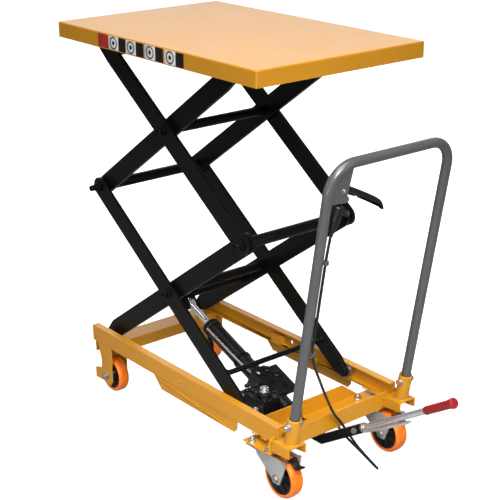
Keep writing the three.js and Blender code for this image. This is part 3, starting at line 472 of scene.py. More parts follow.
def tube(path, radius, segments=20):
    """A tube swept along points without twisting, its ends domed. The radius is a number or a list."""
    path = [Vector(p) for p in path]
    radii = radius if isinstance(radius, list) else [radius] * len(path)
    neighbours = zip(path[:1] + path, path[1:] + path[-1:])
    ways = [(after - before).normalized() for before, after in neighbours]
    u, _ = across(ways[0])
    rings = []
    for point, way, r in zip(path, ways, radii):
        u = (u - way * u.dot(way)).normalized()
        v = way.cross(u)
        rings.append([point + spoke(u, v, angle) * r * MM for angle in round_angles(segments)])
    ends = []
    for index, outward in ((0, -ways[0]), (-1, ways[-1])):
        rise = outward * radii[index] * MM * 0.18
        ends.append([path[index].lerp(p, 0.75) + rise for p in rings[index]])
    return skinned([ends[0], *rings, ends[1]])


def arc(centre, u, v, radius, start, end, steps):
    """Points round a centre, from a start to an end in degrees."""
    angles = [math.radians(start + (end - start) * i / steps) for i in range(steps + 1)]
    return [centre + spoke(u, v, a) * radius * MM for a in angles]


def helix(start, end, radius, turns, steps_per_turn=20):
    u, v = across(end - start)
    count = int(turns * steps_per_turn)
    path = []
    for i in range(count + 1):
        angle = 2 * math.pi * turns * i / count
        path.append(start.lerp(end, i / count) + spoke(u, v, angle) * radius * MM)
    return path


def smooth_path(points, steps=8):
    """A Catmull-Rom path through points."""
    points = [Vector(p) for p in points]
    ends = [points[0] * 2 - points[1], *points, points[-1] * 2 - points[-2]]
    path = []
    for p0, p1, p2, p3 in zip(ends, ends[1:], ends[2:], ends[3:]):
        for i in range(steps):
            t = i / steps
            path.append(0.5 * (2 * p1 + (p2 - p0) * t + (2 * p0 - 5 * p1 + 4 * p2 - p3) * t * t
                               + (3 * p1 - p0 - 3 * p2 + p3) * t ** 3))
    path.append(points[-1])
    return path


def plate(outline, origin, u, v, thickness, bevel=0.5):
    """A flat plate from a closed outline in millimetres, centred on its plane, with softened rims."""
    normal = u.cross(v)
    points = [Vector(p) for p in outline]
    turn = sum(a.x * b.y - b.x * a.y for a, b in zip(points, points[1:] + points[:1]))
    if turn < 0:
        points.reverse()
    inward = []
    for i, p in enumerate(points):
        before = p - points[i - 1]
        after = points[(i + 1) % len(points)] - p
        both = Vector((-before.y, before.x)).normalized() + Vector((-after.y, after.x)).normalized()
        inward.append(both / max(0.5, both.length_squared / 2))
    half = thickness / 2
    diagonal = bevel * (1 - math.sqrt(0.5))
    rings = []
    for inset, level in ((bevel, -half), (diagonal, -half + diagonal), (0, -half + bevel),
                         (0, half - bevel), (diagonal, half - diagonal), (bevel, half)):
        inset_points = [p + n * inset for p, n in zip(points, inward)]
        rings.append([origin + (u * q.x + v * q.y + normal * level) * MM for q in inset_points])
    return skinned(rings)


def weld_bead(path, radius):
    """A bead whose width rises and falls in small scallops."""
    return tube(path, [radius * (1 + 0.28 * math.sin(1.9 * i)) for i in range(len(path))], 10)


def line(start, end, steps):
    return [start.lerp(end, i / steps) for i in range(steps + 1)]


# ---------- carried-over frame parts ----------
ROLLED_ANGLE = math.radians(32)
KEPT_PAIRS = (  # node without its side, finish and bevel in millimetres
    ("rail", "orange_paint", 1.0),
    ("handle_socket", "orange_paint", 0.6),
    ("fixed_fork", "orange_paint", 0.6),
    ("platform_track", "orange_paint", 0.6),
    ("caster_plate", "zinc", 0.5),
    ("lower_inner_arm", "black_paint", 1.0),
    ("lower_outer_arm", "black_paint", 1.0),
    ("upper_outer_arm", "black_paint", 1.0),
    ("upper_inner_arm", "black_paint", 1.0),
)
KEPT = (
    ("rear_cross_member", "orange_paint", 0.9),
    ("caster_tray", "orange_paint", 0.9),
    ("ram_cradle", "black_paint", 0.6),
    ("ram_crossbar", "black_paint", 0.7),
    ("ram_barrel", "cast_black", 1.2),
    ("pump_block", "cast_black", 2.0),
    ("pedal_bracket", "black_paint", 0.6),
    ("pedal_arm", "black_paint", 1.4),
    ("pump_plunger", "chrome", 0.4),
    ("release_valve_lever", "zinc", 0.5),
    ("release_valve_stem", "chrome", 0.4),
    ("handle_gusset", "grey_paint", 0.7),
)


def keep(node, finish, bevel):
    """A frame part that stays: merged, its edges rolled over by a bevel in millimetres, and painted."""
    obj = frame["nodes"][node]
    mesh = obj.data
    if "custom_normal" in mesh.attributes:
        mesh.attributes.remove(mesh.attributes["custom_normal"])
    mesh.materials.clear()
    mesh.materials.append(materials[finish])
    mesh.shade_smooth()
    weld = obj.modifiers.new("merge", "WELD")
    weld.merge_threshold = 2e-5
    flat = obj.modifiers.new("flat_faces", "DECIMATE")
    flat.decimate_type = "DISSOLVE"
    flat.angle_limit = math.radians(1.5)
    rim = obj.modifiers.new("rolled_edges", "BEVEL")
    rim.width = bevel * MM
    rim.segments = 2
    rim.limit_method = "ANGLE"
    rim.angle_limit = ROLLED_ANGLE
    rim.harden_normals = False
    rim.use_clamp_overlap = True
    even_normals(obj)


def keep_frame():
    for label, _ in SIDES:
        for node, finish, bevel in KEPT_PAIRS:
            keep(f"{node}_{label}", finish, bevel)
    for node, finish, bevel in KEPT:
        keep(node, finish, bevel)


# ---------- platform ----------
PLATFORM_CORNER = 5.0
PLATFORM_FOLD = 3.2
PLATFORM_SHEET = 2.5


def platform_ring(inset, z):
    """Points round the platform's rounded outline, inset in millimetres, at a height in metres."""
    half, centre = half_size("platform"), middle("platform")
    radius = max(PLATFORM_CORNER - inset, 0.3)
    x, y = half.x - inset - radius, half.y - inset - radius
    ring = []
    for sx, sy, start in ((1, 1, 0), (-1, 1, 90), (-1, -1, 180), (1, -1, 270)):
        corner = Vector((centre.x + sx * x * MM, centre.y + sy * y * MM, z))
        ring += arc(corner, X_AXIS, Y_AXIS, radius, start, start + 90, 6)
    return ring


def make_platform():
    """Folded deck: a rolled top edge, tight corners and a hemmed lower rim."""
    low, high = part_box("platform")
    fold, sheet = PLATFORM_FOLD, PLATFORM_SHEET
    levels = [(fold + 1.5, high.z - sheet * MM), (sheet, high.z - (sheet + 2) * MM),
              (sheet, low.z + 0.5 * MM), (sheet - 0.5, low.z), (0.5, low.z), (0, low.z + 0.5 * MM)]
    for i in range(5):
        a = math.radians(90 * i / 4)
        levels.append((fold * (1 - math.cos(a)), high.z - fold * MM * (1 - math.sin(a))))
    deck = skinned([platform_ring(inset, z) for inset, z in levels])
    even_normals(show("platform_deck", [deck], "orange_paint", "platform", ("platform",), 40.0))


MARKING_START = -184.0
WHITE_STARTS = (40, 105, 174, 244)
RED_WIDTH, WHITE_WIDTH, DARK_WIDTH, MARKING_GAP = 39, 37, 27, 0.6
MARKING_PROUD, RING_PROUD = 0.4, 0.25


def marking_place(x, proud):
    """A point on the near skirt, x millimetres along the strip and proud of the face."""
    low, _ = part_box("platform")
    return Vector((TABLE_X + (MARKING_START + x) * MM, low.y - proud * MM, middle("platform").z))


def marking_block(start, width):
    tall = half_size("platform").z - 2.5
    centre = marking_place(start + width / 2, MARKING_PROUD / 2)
    return plate(rectangle(width / 2, tall, 0.8, 3), centre, X_AXIS, Z_AXIS, MARKING_PROUD, 0.12)


def make_markings():
    """A strip of plain colour blocks and rings on the near skirt, with no lettering."""
    show("marking_red", [marking_block(0, RED_WIDTH)], "mark_red", "platform")
    show("marking_white", [marking_block(x, WHITE_WIDTH) for x in WHITE_STARTS], "mark_white", "platform")
    darks = []
    for x in WHITE_STARTS:
        darks.append(marking_block(x + WHITE_WIDTH + MARKING_GAP, DARK_WIDTH))
        centre = marking_place(x + WHITE_WIDTH / 2, MARKING_PROUD)
        ring = closed([(0, 10.5), (0, 13.5), (RING_PROUD, 13.5), (RING_PROUD, 10.5)])
        dot = [(0, 0), (0, 4.6), (RING_PROUD, 4.6), (RING_PROUD, 0)]
        darks += [turned(centre, -Y_AXIS, ring, 0.1, SMALL_ROUND), turned(centre, -Y_AXIS, dot, 0.1, 20)]
    show("marking_dark", darks, "black_plastic", "platform")


# ---------- wheels and casters ----------
TREAD_DEPTH = 9.0
RIB_COUNT = 8


def make_wheel(name):
    """Tread with rounded shoulders, a dished hub with ribs on both faces, and bearing rings."""
    centre, size = middle(f"{name}_tyre"), half_size(f"{name}_tyre")
    outer, half = size.z, size.y
    rim = outer - TREAD_DEPTH
    tread = closed(mirrored([(half * 0.45, outer - 0.1), (half - 3.4, outer - 1.4), (half - 0.4, outer - 5.5),
                             (half, rim + 2.4), (half - 1.4, rim)]))
    tyre = turned(centre, Y_AXIS, tread, 3.0, 96)
    show(f"{name}_tread", [tyre], "orange_tyre", name, (f"{name}_tyre",), 50.0)
    dish = closed(mirrored([(half - 2.0, rim - 0.2), (half - 3.2, rim - 4), (half - 9.2, rim - 7),
                            (half - 8.5, 14.5), (half - 2, 12.6), (half, 11), (half, 5.3)]))
    hub = [turned(centre, Y_AXIS, dish, 1.2, 80)]
    inner_rib, outer_rib = 13.0, rim - 4.5
    middle_rib, reach = (inner_rib + outer_rib) / 2, (outer_rib - inner_rib) / 2
    outline = rounded([(-reach, -1.9, 0.4), (reach, -1.9, 0.4), (reach, 3.2, 0.6), (-reach, 4.6, 0.6)], 2)
    bearing = closed([(0, 5.4), (0, 9.4), (0.5, 9.6), (0.5, 5.4)])
    bearings = []
    for way in (-Y_AXIS, Y_AXIS):
        for angle in round_angles(RIB_COUNT):
            along = spoke(X_AXIS, Z_AXIS, angle + math.pi / RIB_COUNT)
            seat = centre + (way * (half - 7.4) + along * middle_rib) * MM
            hub.append(plate(outline, seat, along, way, 2.2, 0.4))
        bearings.append(turned(centre + way * half * MM, way, bearing, 0.2, SMALL_ROUND))
    show(f"{name}_hub", hub, "wheel_core", name, (f"{name}_core",), 40.0)
    show(f"{name}_bearing", bearings, "bare_steel", name)


CHEEK_Y = 21.5
CHEEK_THICKNESS = 3.0


def make_caster_fork(label):
    """Pressed fork: a domed crown with its ball race, two tapering cheeks and the axle bolt."""
    swivel = joint_at(f"caster_{label}_swivel")
    axle = joint_at(f"caster_wheel_{label}_spin")
    brake = joint_at(f"caster_brake_{label}_pivot")
    node, body = f"caster_fork_{label}", f"caster_{label}"
    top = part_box(node)[1].z / MM
    trail, hub = (axle.x - swivel.x) / MM, axle.z / MM
    origin = Vector((swivel.x, swivel.y, 0))
    cheek = rounded([(-24, 97, 3), (-22, 84, 14), (trail - 13.5, hub - 5, 8), (trail - 11, hub - 11.5, 10),
                     (trail, hub - 13.2, 8), (trail + 11, hub - 11.5, 10), (trail + 13.5, hub - 3, 8),
                     (trail + 20, hub + 12, 14), (trail + 29, 86, 12), (trail + 29, 97.5, 3)], 6)
    crown = rounded([(-24, -23, 8), (14, -23, 4), (14, 23, 4), (-24, 23, 8)])
    race = [(91.5, 0), (91.5, 17), (94, 20.5), (96.6, 24), (98.2, 24.5), (98.6, 22.5), (99.2, 22.5),
            (99.2, 24.8), (top, 25.2), (top, 0)]
    pin = [(86, 0), (86, 5), (88, 6.5), (91.5, 6.5), (91.5, 0)]
    fork = [plate(cheek, origin + way * CHEEK_Y * MM, X_AXIS, Z_AXIS, CHEEK_THICKNESS, 0.9)
            for way in (-Y_AXIS, Y_AXIS)]
    fork.append(plate(crown, origin + Z_AXIS * 94.4 * MM, X_AXIS, Y_AXIS, 3.6, 1.2))
    fork.append(turned(origin, Z_AXIS, race, 0.7))
    fork.append(turned(origin, Z_AXIS, pin, 0.6, SMALL_ROUND))
    show(f"{node}_pressing", fork, "pressed_zinc", body, (node,), 40.0)
    bolts = []
    for way in (-Y_AXIS, Y_AXIS):
        seat = axle + way * (CHEEK_Y + CHEEK_THICKNESS / 2) * MM
        bolts += nut(seat, way, (9.2, 1.4, 4.0), 13, 4.2, chamfer=0.8, spin=0.3)
    shank = mirrored([(CHEEK_Y + 5, 5), (CHEEK_Y + 5, 0)])
    rod = mirrored([(CHEEK_Y + 1.4, 2.5), (CHEEK_Y + 1.4, 3.8), (CHEEK_Y + 3.2, 3.6), (CHEEK_Y + 3.2, 0)])
    bolts.append(turned(axle, Y_AXIS, shank, 0.2, SMALL_ROUND))
    bolts.append(turned(brake, Y_AXIS, rod, 0.3, SMALL_ROUND))
    show(f"caster_axle_{label}", bolts, "bare_steel", body)


def make_caster_brake(label):
    """Toe pedal: a curled blade with ribs under the toe, on a sleeve round its pin."""
    name = f"caster_brake_{label}"
    pivot = joint_at(f"{name}_pivot")
    blade = rounded([(-3.4, 2.4, 2), (4, 3.2, 2), (12, 2.0, 8), (17.5, -7, 5), (25, -7.4, 6), (33.5, -1.4, 2),
                     (36, -4.4, 2), (26, -12.6, 8), (15, -12, 6), (10.5, -4.6, 6), (3, -1.6, 4)], 6)
    rib = rounded([(16, -5.6, 4), (25, -6.2, 5), (35, -2.4, 1), (33.5, -5.4, 1), (25.5, -13.4, 5),
                   (15, -12.8, 4)], 4)
    pedal = [plate(blade, pivot, X_AXIS, Z_AXIS, 14, 1.1)]
    pedal += [plate(rib, pivot + Y_AXIS * y * MM, X_AXIS, Z_AXIS, 1.8, 0.6) for y in (-6.6, 6.6)]
    pedal.append(turned(pivot, Y_AXIS, closed(mirrored([(12, 4.2), (12, 2.9)])), 0.4, SMALL_ROUND))
    for i in range(3):
        ridge = [pivot + Vector((23 + 3.6 * i, y, -7.0 + 1.9 * i)) * MM for y in (-6, 6)]
        pedal.append(tube(line(*ridge, 6), 0.7, 8))
    show(f"{name}_pedal", pedal, "black_plastic", name, (name,), 40.0)


def make_caster_bolts(label):
    """Four bolts through the tray floor: heads under the caster's plate, nuts on the tray."""
    low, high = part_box(f"caster_plate_{label}")
    floor_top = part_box("caster_tray")[0].z + 3.5 * MM
    inset = 9.5 * MM
    head = [(0, 0), (0, 6.4), (1.2, 6.0), (2.4, 3.5), (2.6, 0)]
    shapes = []
    for x in (low.x + inset, high.x - inset - 2 * MM):
        for y in (low.y + inset, high.y - inset):
            seat = Vector((x, y, floor_top))
            shapes += nut(seat, Z_AXIS, (8.2, 1.3, 4.0), 13, 6, spin=x * 40)
            shapes.append(thread(seat, Z_AXIS, 3.9, 5, 11))
            shapes.append(turned(Vector((x, y, low.z)), -Z_AXIS, head, 0.5, 24))
    show(f"caster_bolts_{label}", shapes, "zinc", "base")

# ---------- scissor hardware ----------
INNER_ARM_Y, OUTER_ARM_Y = 135.0, 149.0
ARM_CLEAR = 4.9  # from an arm's middle to a shaft's shoulder
SHAFT_PIN, SHAFT_COLLAR = 7.0, 12.0


def make_shaft(node, body, bar):
    """A cross shaft of a bar's radius, necked where it passes through the arms, with a nut on each end."""
    centre = middle(node)
    centre.y = 0
    inner_face, collar_start = INNER_ARM_Y - ARM_CLEAR, INNER_ARM_Y + ARM_CLEAR
    collar_end, nut_start = OUTER_ARM_Y - ARM_CLEAR, OUTER_ARM_Y + ARM_CLEAR
    nut_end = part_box(node)[1].y / MM
    profile = mirrored([(inner_face, bar), (inner_face, SHAFT_PIN), (collar_start, SHAFT_PIN),
                        (collar_start, SHAFT_COLLAR), (collar_end, SHAFT_COLLAR), (collar_end, SHAFT_PIN),
                        (nut_start, SHAFT_PIN), (nut_end - 2, SHAFT_PIN), (nut_end, 5.6), (nut_end, 0)])
    show(f"{node}_bar", [turned(centre, Y_AXIS, profile, 0.5)], "black_paint", body, (node,), 40.0)
    nuts = []
    for way in (-Y_AXIS, Y_AXIS):
        seat = centre + way * nut_start * MM
        nuts += nut(seat, way, (13.5, 2.0, 7.0), 19, 6.5, chamfer=1.0, spin=0.2)
        nuts.append(thread(seat, way, 6.9, 8.0, nut_end - nut_start))
    show(f"{node}_nuts", nuts, "black_paint", body)


def make_rollers():
    """Steel rollers with a groove round the bearing on each face."""
    for label, _ in SIDES:
        for node, radius in ((f"base_roller_{label}", 16), (f"platform_roller_{label}", 13)):
            half = half_size(node).y
            ring = closed(mirrored([(half, radius), (half, 12.4), (half - 0.8, 12), (half - 0.8, 10.4),
                                    (half, 10), (half, 6.3)]))
            show(f"{node}_ring", [turned(middle(node), Y_AXIS, ring, 0.7)], "bare_steel", node, (node,), 40.0)


def make_ties():
    """Round bars between a pair of arms, welded at both ends."""
    for node, body in (("lower_tie_bar", "lower_outer_arms"), ("upper_tie_bar", "upper_outer_arms")):
        centre, size = middle(node), half_size(node)
        shapes = [turned(centre, Y_AXIS, mirrored([(size.y, size.z), (size.y, 0)]), 0.5, 48)]
        for way in (-Y_AXIS, Y_AXIS):
            bead = arc(centre + way * (size.y - 1) * MM, X_AXIS, Z_AXIS, size.z + 1, 0, 350, 34)
            shapes.append(weld_bead(bead, 1.6))
        show(f"{node}_rod", shapes, "black_paint", body, (node,), 40.0)


# ---------- ram ----------
GLAND = 82.0  # from the rod's eye to the barrel's mouth
BARREL_RADIUS = 19.6
ROD_REACH = 300.0


def make_ram():
    """Chrome rod with its eye, the barrel's gland and clamp, and the valve casting's lumps and plugs."""
    start = joint_at("ram_pivot")
    start.y = middle("ram_rod").y
    way = Vector(JOINTS["ram_stroke"]["axis"]).normalized()
    up = way.cross(Y_AXIS) if way.cross(Y_AXIS).z > 0 else Y_AXIS.cross(way)

    def on_ram(along, y, lift=0.0):
        return start + (way * along + Y_AXIS * y + up * lift) * MM

    eye = turned(start, Y_AXIS, closed(mirrored([(8, 12), (8, 5.4)])), 0.8, 48)
    rod = [(9, 0), (9, 9.5), (10.5, 9.5), (11, 8), (ROD_REACH - 1, 8), (ROD_REACH, 7), (ROD_REACH, 0)]
    show("ram_rod_bar", [eye, turned(start, way, rod, 0.6, 56)], "chrome", "ram_rod", ("ram_rod",), 40.0)
    wall = BARREL_RADIUS
    collar = closed([(GLAND - 1, 8.35), (GLAND - 2, 11), (GLAND - 2, 17), (GLAND + 1, 21.6), (GLAND + 9, 22),
                     (GLAND + 11, 20.4), (GLAND + 13, 22), (GLAND + 18, 22), (GLAND + 20, wall + 0.2),
                     (GLAND + 20, wall), (GLAND + 15, wall), (GLAND + 14, 21.1), (GLAND, 21.1),
                     (GLAND - 0.4, 18), (GLAND - 0.4, 8.35)])
    clamp = closed([(206, wall), (206, wall + 2.2), (214, wall + 2.2), (214, wall)])
    wiper = closed([(GLAND - 2.2, 8.8), (GLAND - 2.2, 10.2), (GLAND - 1.2, 10.6), (GLAND - 1.2, 8.8)])
    rings = [turned(start, way, ring, 0.5) for ring in (collar, clamp)]
    show("ram_gland", rings, "black_paint", "ram_barrel", (), 40.0)
    show("ram_wiper", [turned(start, way, wiper, 0.4)], "wheel_core", "ram_barrel")
    pipe = smooth_path([on_ram(*point) for point in (
        (98, -19, 8), (99, -22, 10), (104, -22.5, 11), (160, -22, 12), (230, -21, 13), (262, -19, 16),
        (276, -12, 23), (284, -6, 24))], 6)
    show("ram_oil_pipe", [tube(pipe, 3.0, 16)], "bright_tube", "ram_barrel")
    plugs = []
    for along, y, lift, size in ((284, -6, 23, 11), (310, 2, 24, 13), (332, 26, 24, 11), (336, -10, 24, 10)):
        seat = on_ram(along, y, lift)
        plugs.append(prism(seat, up, size, 5.0, chamfer=0.8, spin=along))
        plugs.append(turned(seat, up, [(5, 0), (5, 3.2), (7.5, 2.8), (7.5, 0)], 0.3, 24))
    show("ram_plugs", plugs, "cast_black", "ram_barrel")
    lumps = []
    for along, y, r, height in ((278, 12, 9, 31), (298, 26, 10, 29), (322, 36, 8, 27)):
        lump = [(16, 0), (16, r + 2), (24, r + 1), (height, r - 1), (height, 0)]
        lumps.append(turned(on_ram(along, y), up, lump, 2.0, 36))
    show("ram_casting_bosses", lumps, "cast_black", "ram_barrel", (), 45.0)


# ---------- pump and pedal ----------
PUMP_MIDDLE = (193, -88)
PUMP_BOSSES = ((176, -86, 12), (162, -100, 7), (162, -74, 8), (226, -104, 6), (226, -74, 8))
PUMP_TOP = 156


def make_pump():
    """Cast ribs and bosses round the pump block, its cap, bolts, plunger spring and oil pipe."""
    outline = rectangle(42.3, 25.3, 4, 4)
    ribs = [plate(outline, at(*PUMP_MIDDLE, z), X_AXIS, Y_AXIS, 2.6, 0.8) for z in (134, 141, 148)]
    for x, y, r in PUMP_BOSSES:
        boss = [(0, 0), (0, r), (9, r - 0.6), (10.5, r - 2), (10.5, 0)]
        ribs.append(turned(at(x, y, 150), Z_AXIS, boss, 0.8, SMALL_ROUND))
    show("pump_ribs", ribs, "cast_black", "base", (), 40.0)
    top_seats = [(at(x, y, 166.5), Z_AXIS) for x, y in ((162, -100), (176, -86), (226, -104), (226, -74))]
    side_seats = [(at(160, -112.5, z), -Y_AXIS) for z in (110, 148)]
    bolts = []
    for index, (seat, way) in enumerate(top_seats + side_seats):
        bolts += nut(seat, way, (6.4, 1.0, 2.5), 10, 4.6, spin=index)
    show("pump_bolts", bolts[:8], "cast_black", "base")
    show("pump_side_bolts", bolts[8:], "zinc", "base")
    top = middle("pump_plunger")
    top.z = PUMP_TOP * MM
    cap = [(2, 0), (2, 15.2), (6, 15.4), (8.6, 13.5), (9, 6), (9, 0)]
    show("pump_cap", [turned(top, Z_AXIS, cap, 1.2, 48)], "cast_black", "base", (), 40.0)
    spring = helix(top + Z_AXIS * 9 * MM, top + Z_AXIS * 19 * MM, 8.5, 3.0)
    show("pump_spring", [tube(spring, 1.1, 12)], "chrome", "base")
    post = turned(top, Z_AXIS, [(9, 0), (9, 4.2), (21, 4.2), (22, 3.4), (22, 0)], 0.5, 28)
    collar = turned(top, Z_AXIS, [(19, 0), (19, 9.6), (20.5, 9.6), (21, 7.5), (21, 0)], 0.5, 36)
    show("pump_spring_post", [post, collar], "zinc", "base")
    pipe = smooth_path([at(213, -66, 118), at(213, -58, 118), at(222, -50, 121), at(236, -30, 124),
                        at(240, -14, 126)])
    show("pump_oil_pipe", [tube(pipe, 2.6, 16)], "bright_tube", "base")


PEDAL_RISE = math.radians(32.2)
PEDAL_KNEE = 74.0


def make_pedal():
    """Bright tube with a brace under it, its socket's rim and screw, and a grooved grip."""
    knee = joint_at("pedal_pivot") + X_AXIS * PEDAL_KNEE * MM
    knee.y = 0
    way = spoke(X_AXIS, Z_AXIS, PEDAL_RISE)
    up = spoke(Z_AXIS, -X_AXIS, PEDAL_RISE)
    bar = turned(knee, way, [(101, 0), (101, 7), (410, 7), (410, 0)], 0.5, 48)
    show("pedal_tube_bright", [bar], "bright_tube", "pedal", ("pedal_tube",), 40.0)
    rim = closed([(144, 7.2), (144, 10.4), (147, 11.0), (151, 10.4), (151, 7.2)])
    screw_seat = knee + (way * 124 - Y_AXIS * 9) * MM
    screw = nut(screw_seat, -Y_AXIS, (7, 1.2, 3), 10, 4.5)
    show("pedal_socket_rim", [turned(knee, way, rim, 0.6), *screw], "bare_steel", "pedal")
    brace = rounded([(150, -7.4, 2), (196, -7.4, 3), (286, -9.5, 6), (296, -13, 4), (288, -17, 4),
                     (214, -14.5, 8), (150, -11.4, 2)])
    show("pedal_brace", [plate(brace, knee, way, up, 9, 1.2)], "bright_tube", "pedal", (), 40.0)
    sleeve = [(350, 7.2), (350, 8.4), (351.5, 9.2), (356, 9.4), (362, 8.9)]
    for k in range(9):
        groove = 366 + 6 * k
        sleeve += [(groove, 9.1), (groove + 1.0, 8.7), (groove + 2.0, 9.1)]
    sleeve += [(418, 9.3), (424, 9.8), (429, 11.0), (433, 11.3), (435.5, 10.4), (436, 7), (436, 0)]
    grip = turned(knee, way, sleeve, 0.9)
    show("pedal_grip_sleeve", [grip], "red_rubber", "pedal", ("pedal_grip",), 50.0)


# ---------- handle ----------
HANDLE_TUBE = 10.5
HANDLE_LENGTH = 617.0
HANDLE_BEND = 57.0
GUSSET_FOOT = 541.0
LEAN = math.asin(-Vector(JOINTS["trigger_pivot"]["axis"]).z)
ALONG = spoke(Z_AXIS, X_AXIS, LEAN)
OUT = spoke(X_AXIS, -Z_AXIS, LEAN)
HANDLE_HALF = half_size("handle").y - HANDLE_TUBE
HANDLE_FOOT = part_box("handle")[0] + spoke(X_AXIS, Z_AXIS, LEAN) * HANDLE_TUBE * MM
HANDLE_FOOT.y = 0


def on_handle(out, y, along):
    """A point in millimetres from the handle's foot, in the leaning frame of its legs."""
    return HANDLE_FOOT + (OUT * out + Y_AXIS * y + ALONG * along) * MM


def make_handle():
    """The bent tube, and the weld beads that hold the gusset in its near corner."""
    w, top, r = HANDLE_HALF, HANDLE_LENGTH, HANDLE_BEND
    path = line(on_handle(0, -w, 1), on_handle(0, -w, top - r), 12)[:-1]
    path += arc(on_handle(0, -w + r, top - r), Y_AXIS, ALONG, r, 180, 90, 20)[:-1]
    path += line(on_handle(0, -w + r, top), on_handle(0, w - r, top), 10)[:-1]
    path += arc(on_handle(0, w - r, top - r), Y_AXIS, ALONG, r, 90, 0, 20)
    path += line(on_handle(0, w, top - r), on_handle(0, w, 1), 12)[1:]
    show("handle_tube", [tube(path, HANDLE_TUBE, 48)], "grey_paint", "base", ("handle",), 50.0)
    inside = r - HANDLE_TUBE + 0.4
    bend = arc(on_handle(0, -w + r, top - r), Y_AXIS, ALONG, inside, 176, 98, 60)
    edge = -w + r - inside
    leg = line(on_handle(0, edge, GUSSET_FOOT), on_handle(0, edge, top - r), 20)
    show("gusset_welds", [weld_bead(bend, 1.7), weld_bead(leg, 1.7)], "grey_paint", "base", (), 60.0)


def lever_outline():
    """The lowering lever's side view, with a serrated lower edge for the fingers."""
    top = [(-2, 10, 3), (6, 9.5, 5), (22, 2.5, 8), (40, -6, 8), (64, -18, 10), (96, -34.5, 8), (112, -45, 6),
           (121, -56, 6), (125.5, -69, 1.5), (119, -68, 1.5)]
    under = [(111, -56, 4), (101, -52, 4)]
    for k in range(6):
        y, z = 91 - 8.2 * k, -47.5 + 4.3 * k
        under += [(y, z - 2.6, 1.0), (y - 4.6, z + 4.2, 0.6)]
    rest = [(36, -21, 3), (25, -16.5, 4), (14, -12, 4), (5, -10, 4), (-8, -8, 5), (-11, 0, 5)]
    return rounded(top + under + rest, 3)


def make_release_lever():
    pivot = joint_at("trigger_pivot")
    blade = plate(lever_outline(), pivot - OUT * 6.5 * MM, Y_AXIS, ALONG, 8, 1.7)
    show("release_lever", [blade], "black_plastic", "release_trigger", ("release_trigger",), 40.0)
    head = [(2.0, 0), (2.0, 5.6), (2.8, 5.6), (3.0, 4.2), (5.4, 3.6), (6.2, 2.4), (6.3, 0)]
    end = [(10.7, 0), (10.7, 6), (12.2, 5.8), (13.2, 3), (13.2, 0)]
    bolt = [turned(pivot, OUT, head, 0.5, 36), turned(pivot, -OUT, end, 0.5, 36)]
    show("release_lever_bolt", bolt, "zinc", "base")


BOOT_TOP = (-2, -128, 530)
BOOT_END = (6, -145, 472)
ADJUSTER_START, ADJUSTER_END = (-2, -122, 514), (-2, -98, 507)
KNURL_START = 19.5


def knurl(angle, along):
    return 1 + (0.035 * math.sin(14 * angle) if along > KNURL_START else 0)


def make_cable_end():
    """The lever's bracket, with the cable's boot and its knurled adjuster."""
    boot_top, boot_end = on_handle(*BOOT_TOP), on_handle(*BOOT_END)
    length = (boot_end - boot_top).length / MM
    boot = [(-1, 0), (-1, 9.5), (2, 11.2), (16, 11.4), (30, 10.8), (34, 9.4), (37, 9.6), (40, 8.2), (43, 8.2),
            (46, 6.4), (49, 6.2), (52, 4.8), (length - 1, 3.9), (length, 3.2), (length, 0)]
    sleeve = turned(boot_top, boot_end - boot_top, boot, 1.2, 48)
    show("cable_boot_sleeve", [sleeve], "black_plastic", "base", ("cable_boot",), 50.0)
    outline = rounded([(-138, 527, 4), (-117, 525, 4), (-113, 540, 4), (-118, 548, 4), (-134, 546, 4)], 4)
    bracket = plate(outline, on_handle(-7, 0, 0), Y_AXIS, ALONG, 7, 1.6)
    show("lever_bracket", [bracket], "black_plastic", "base", (), 45.0)
    start, end = on_handle(*ADJUSTER_START), on_handle(*ADJUSTER_END)
    knob = [(0, 0), (0, 3.2), (12, 3.2), (12, 4.8), (14, 5.4), (16, 5.4), (17, 3.8), (19, 3.8), (20, 5.8),
            (24, 5.8), (25, 4.8), (25, 0)]
    adjuster = turned(start, end - start, knob, 0.7, 84, knurl)
    show("cable_adjuster", [adjuster], "black_plastic", "base", (), 40.0)


def cable_points():
    """Centre line of the outer cable: down the near leg, a slack loop, then under the tray."""
    boot_way = (on_handle(*BOOT_END) - on_handle(*BOOT_TOP)).normalized()
    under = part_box("caster_tray")[0].z / MM - 3.7
    loose = [(402, -100, 265), (370, -34, 165), (358, 0, 126), (358, 16, 102), (378, 34, 62), (404, 52, 28),
             (415, 61, 13), (406, 60, 16), (382, 42, 46), (352, 22, 80), (336, 17, 96), (320, 9, under),
             (300, -14, under), (286, -60, under), (264, -90, under), (240, -116, under)]
    tied = [on_handle(*BOOT_END) + boot_way * MM, on_handle(10, -151.5, 420), on_handle(10, -151.5, 300),
            on_handle(11, -150.5, 212)]
    return tied + [at(*point) for point in loose]


def make_cable():
    """The outer cable, and the two clips that tie it to the near leg."""
    sheath = tube(smooth_path(cable_points(), 10), 2.9, 18)
    show("release_cable_sheath", [sheath], "black_plastic", "base", ("release_cable",), 60.0)
    outline = rounded([(-3.6, -5, 1.5), (5.4, -5, 2.5), (5.4, 5, 2.5), (-3.6, 5, 1.5)], 4)
    tab = rounded([(-8, -4, 2), (4, -4, 2), (4, 4, 2), (-8, 4, 2)], 3)
    for index, along in enumerate((420, 212)):
        centre = on_handle(10.4, -HANDLE_HALF + 10.6, along)
        clip = [plate(outline, centre + ALONG * lift * MM, OUT, Y_AXIS, 2.2, 0.6) for lift in (-3.2, 0, 3.2)]
        clip.append(plate(tab, on_handle(5.4, -HANDLE_HALF + 9.0, along), Y_AXIS, ALONG, 1.6, 0.5))
        show(f"cable_clip_{index + 1}", clip, "grey_paint", "base")


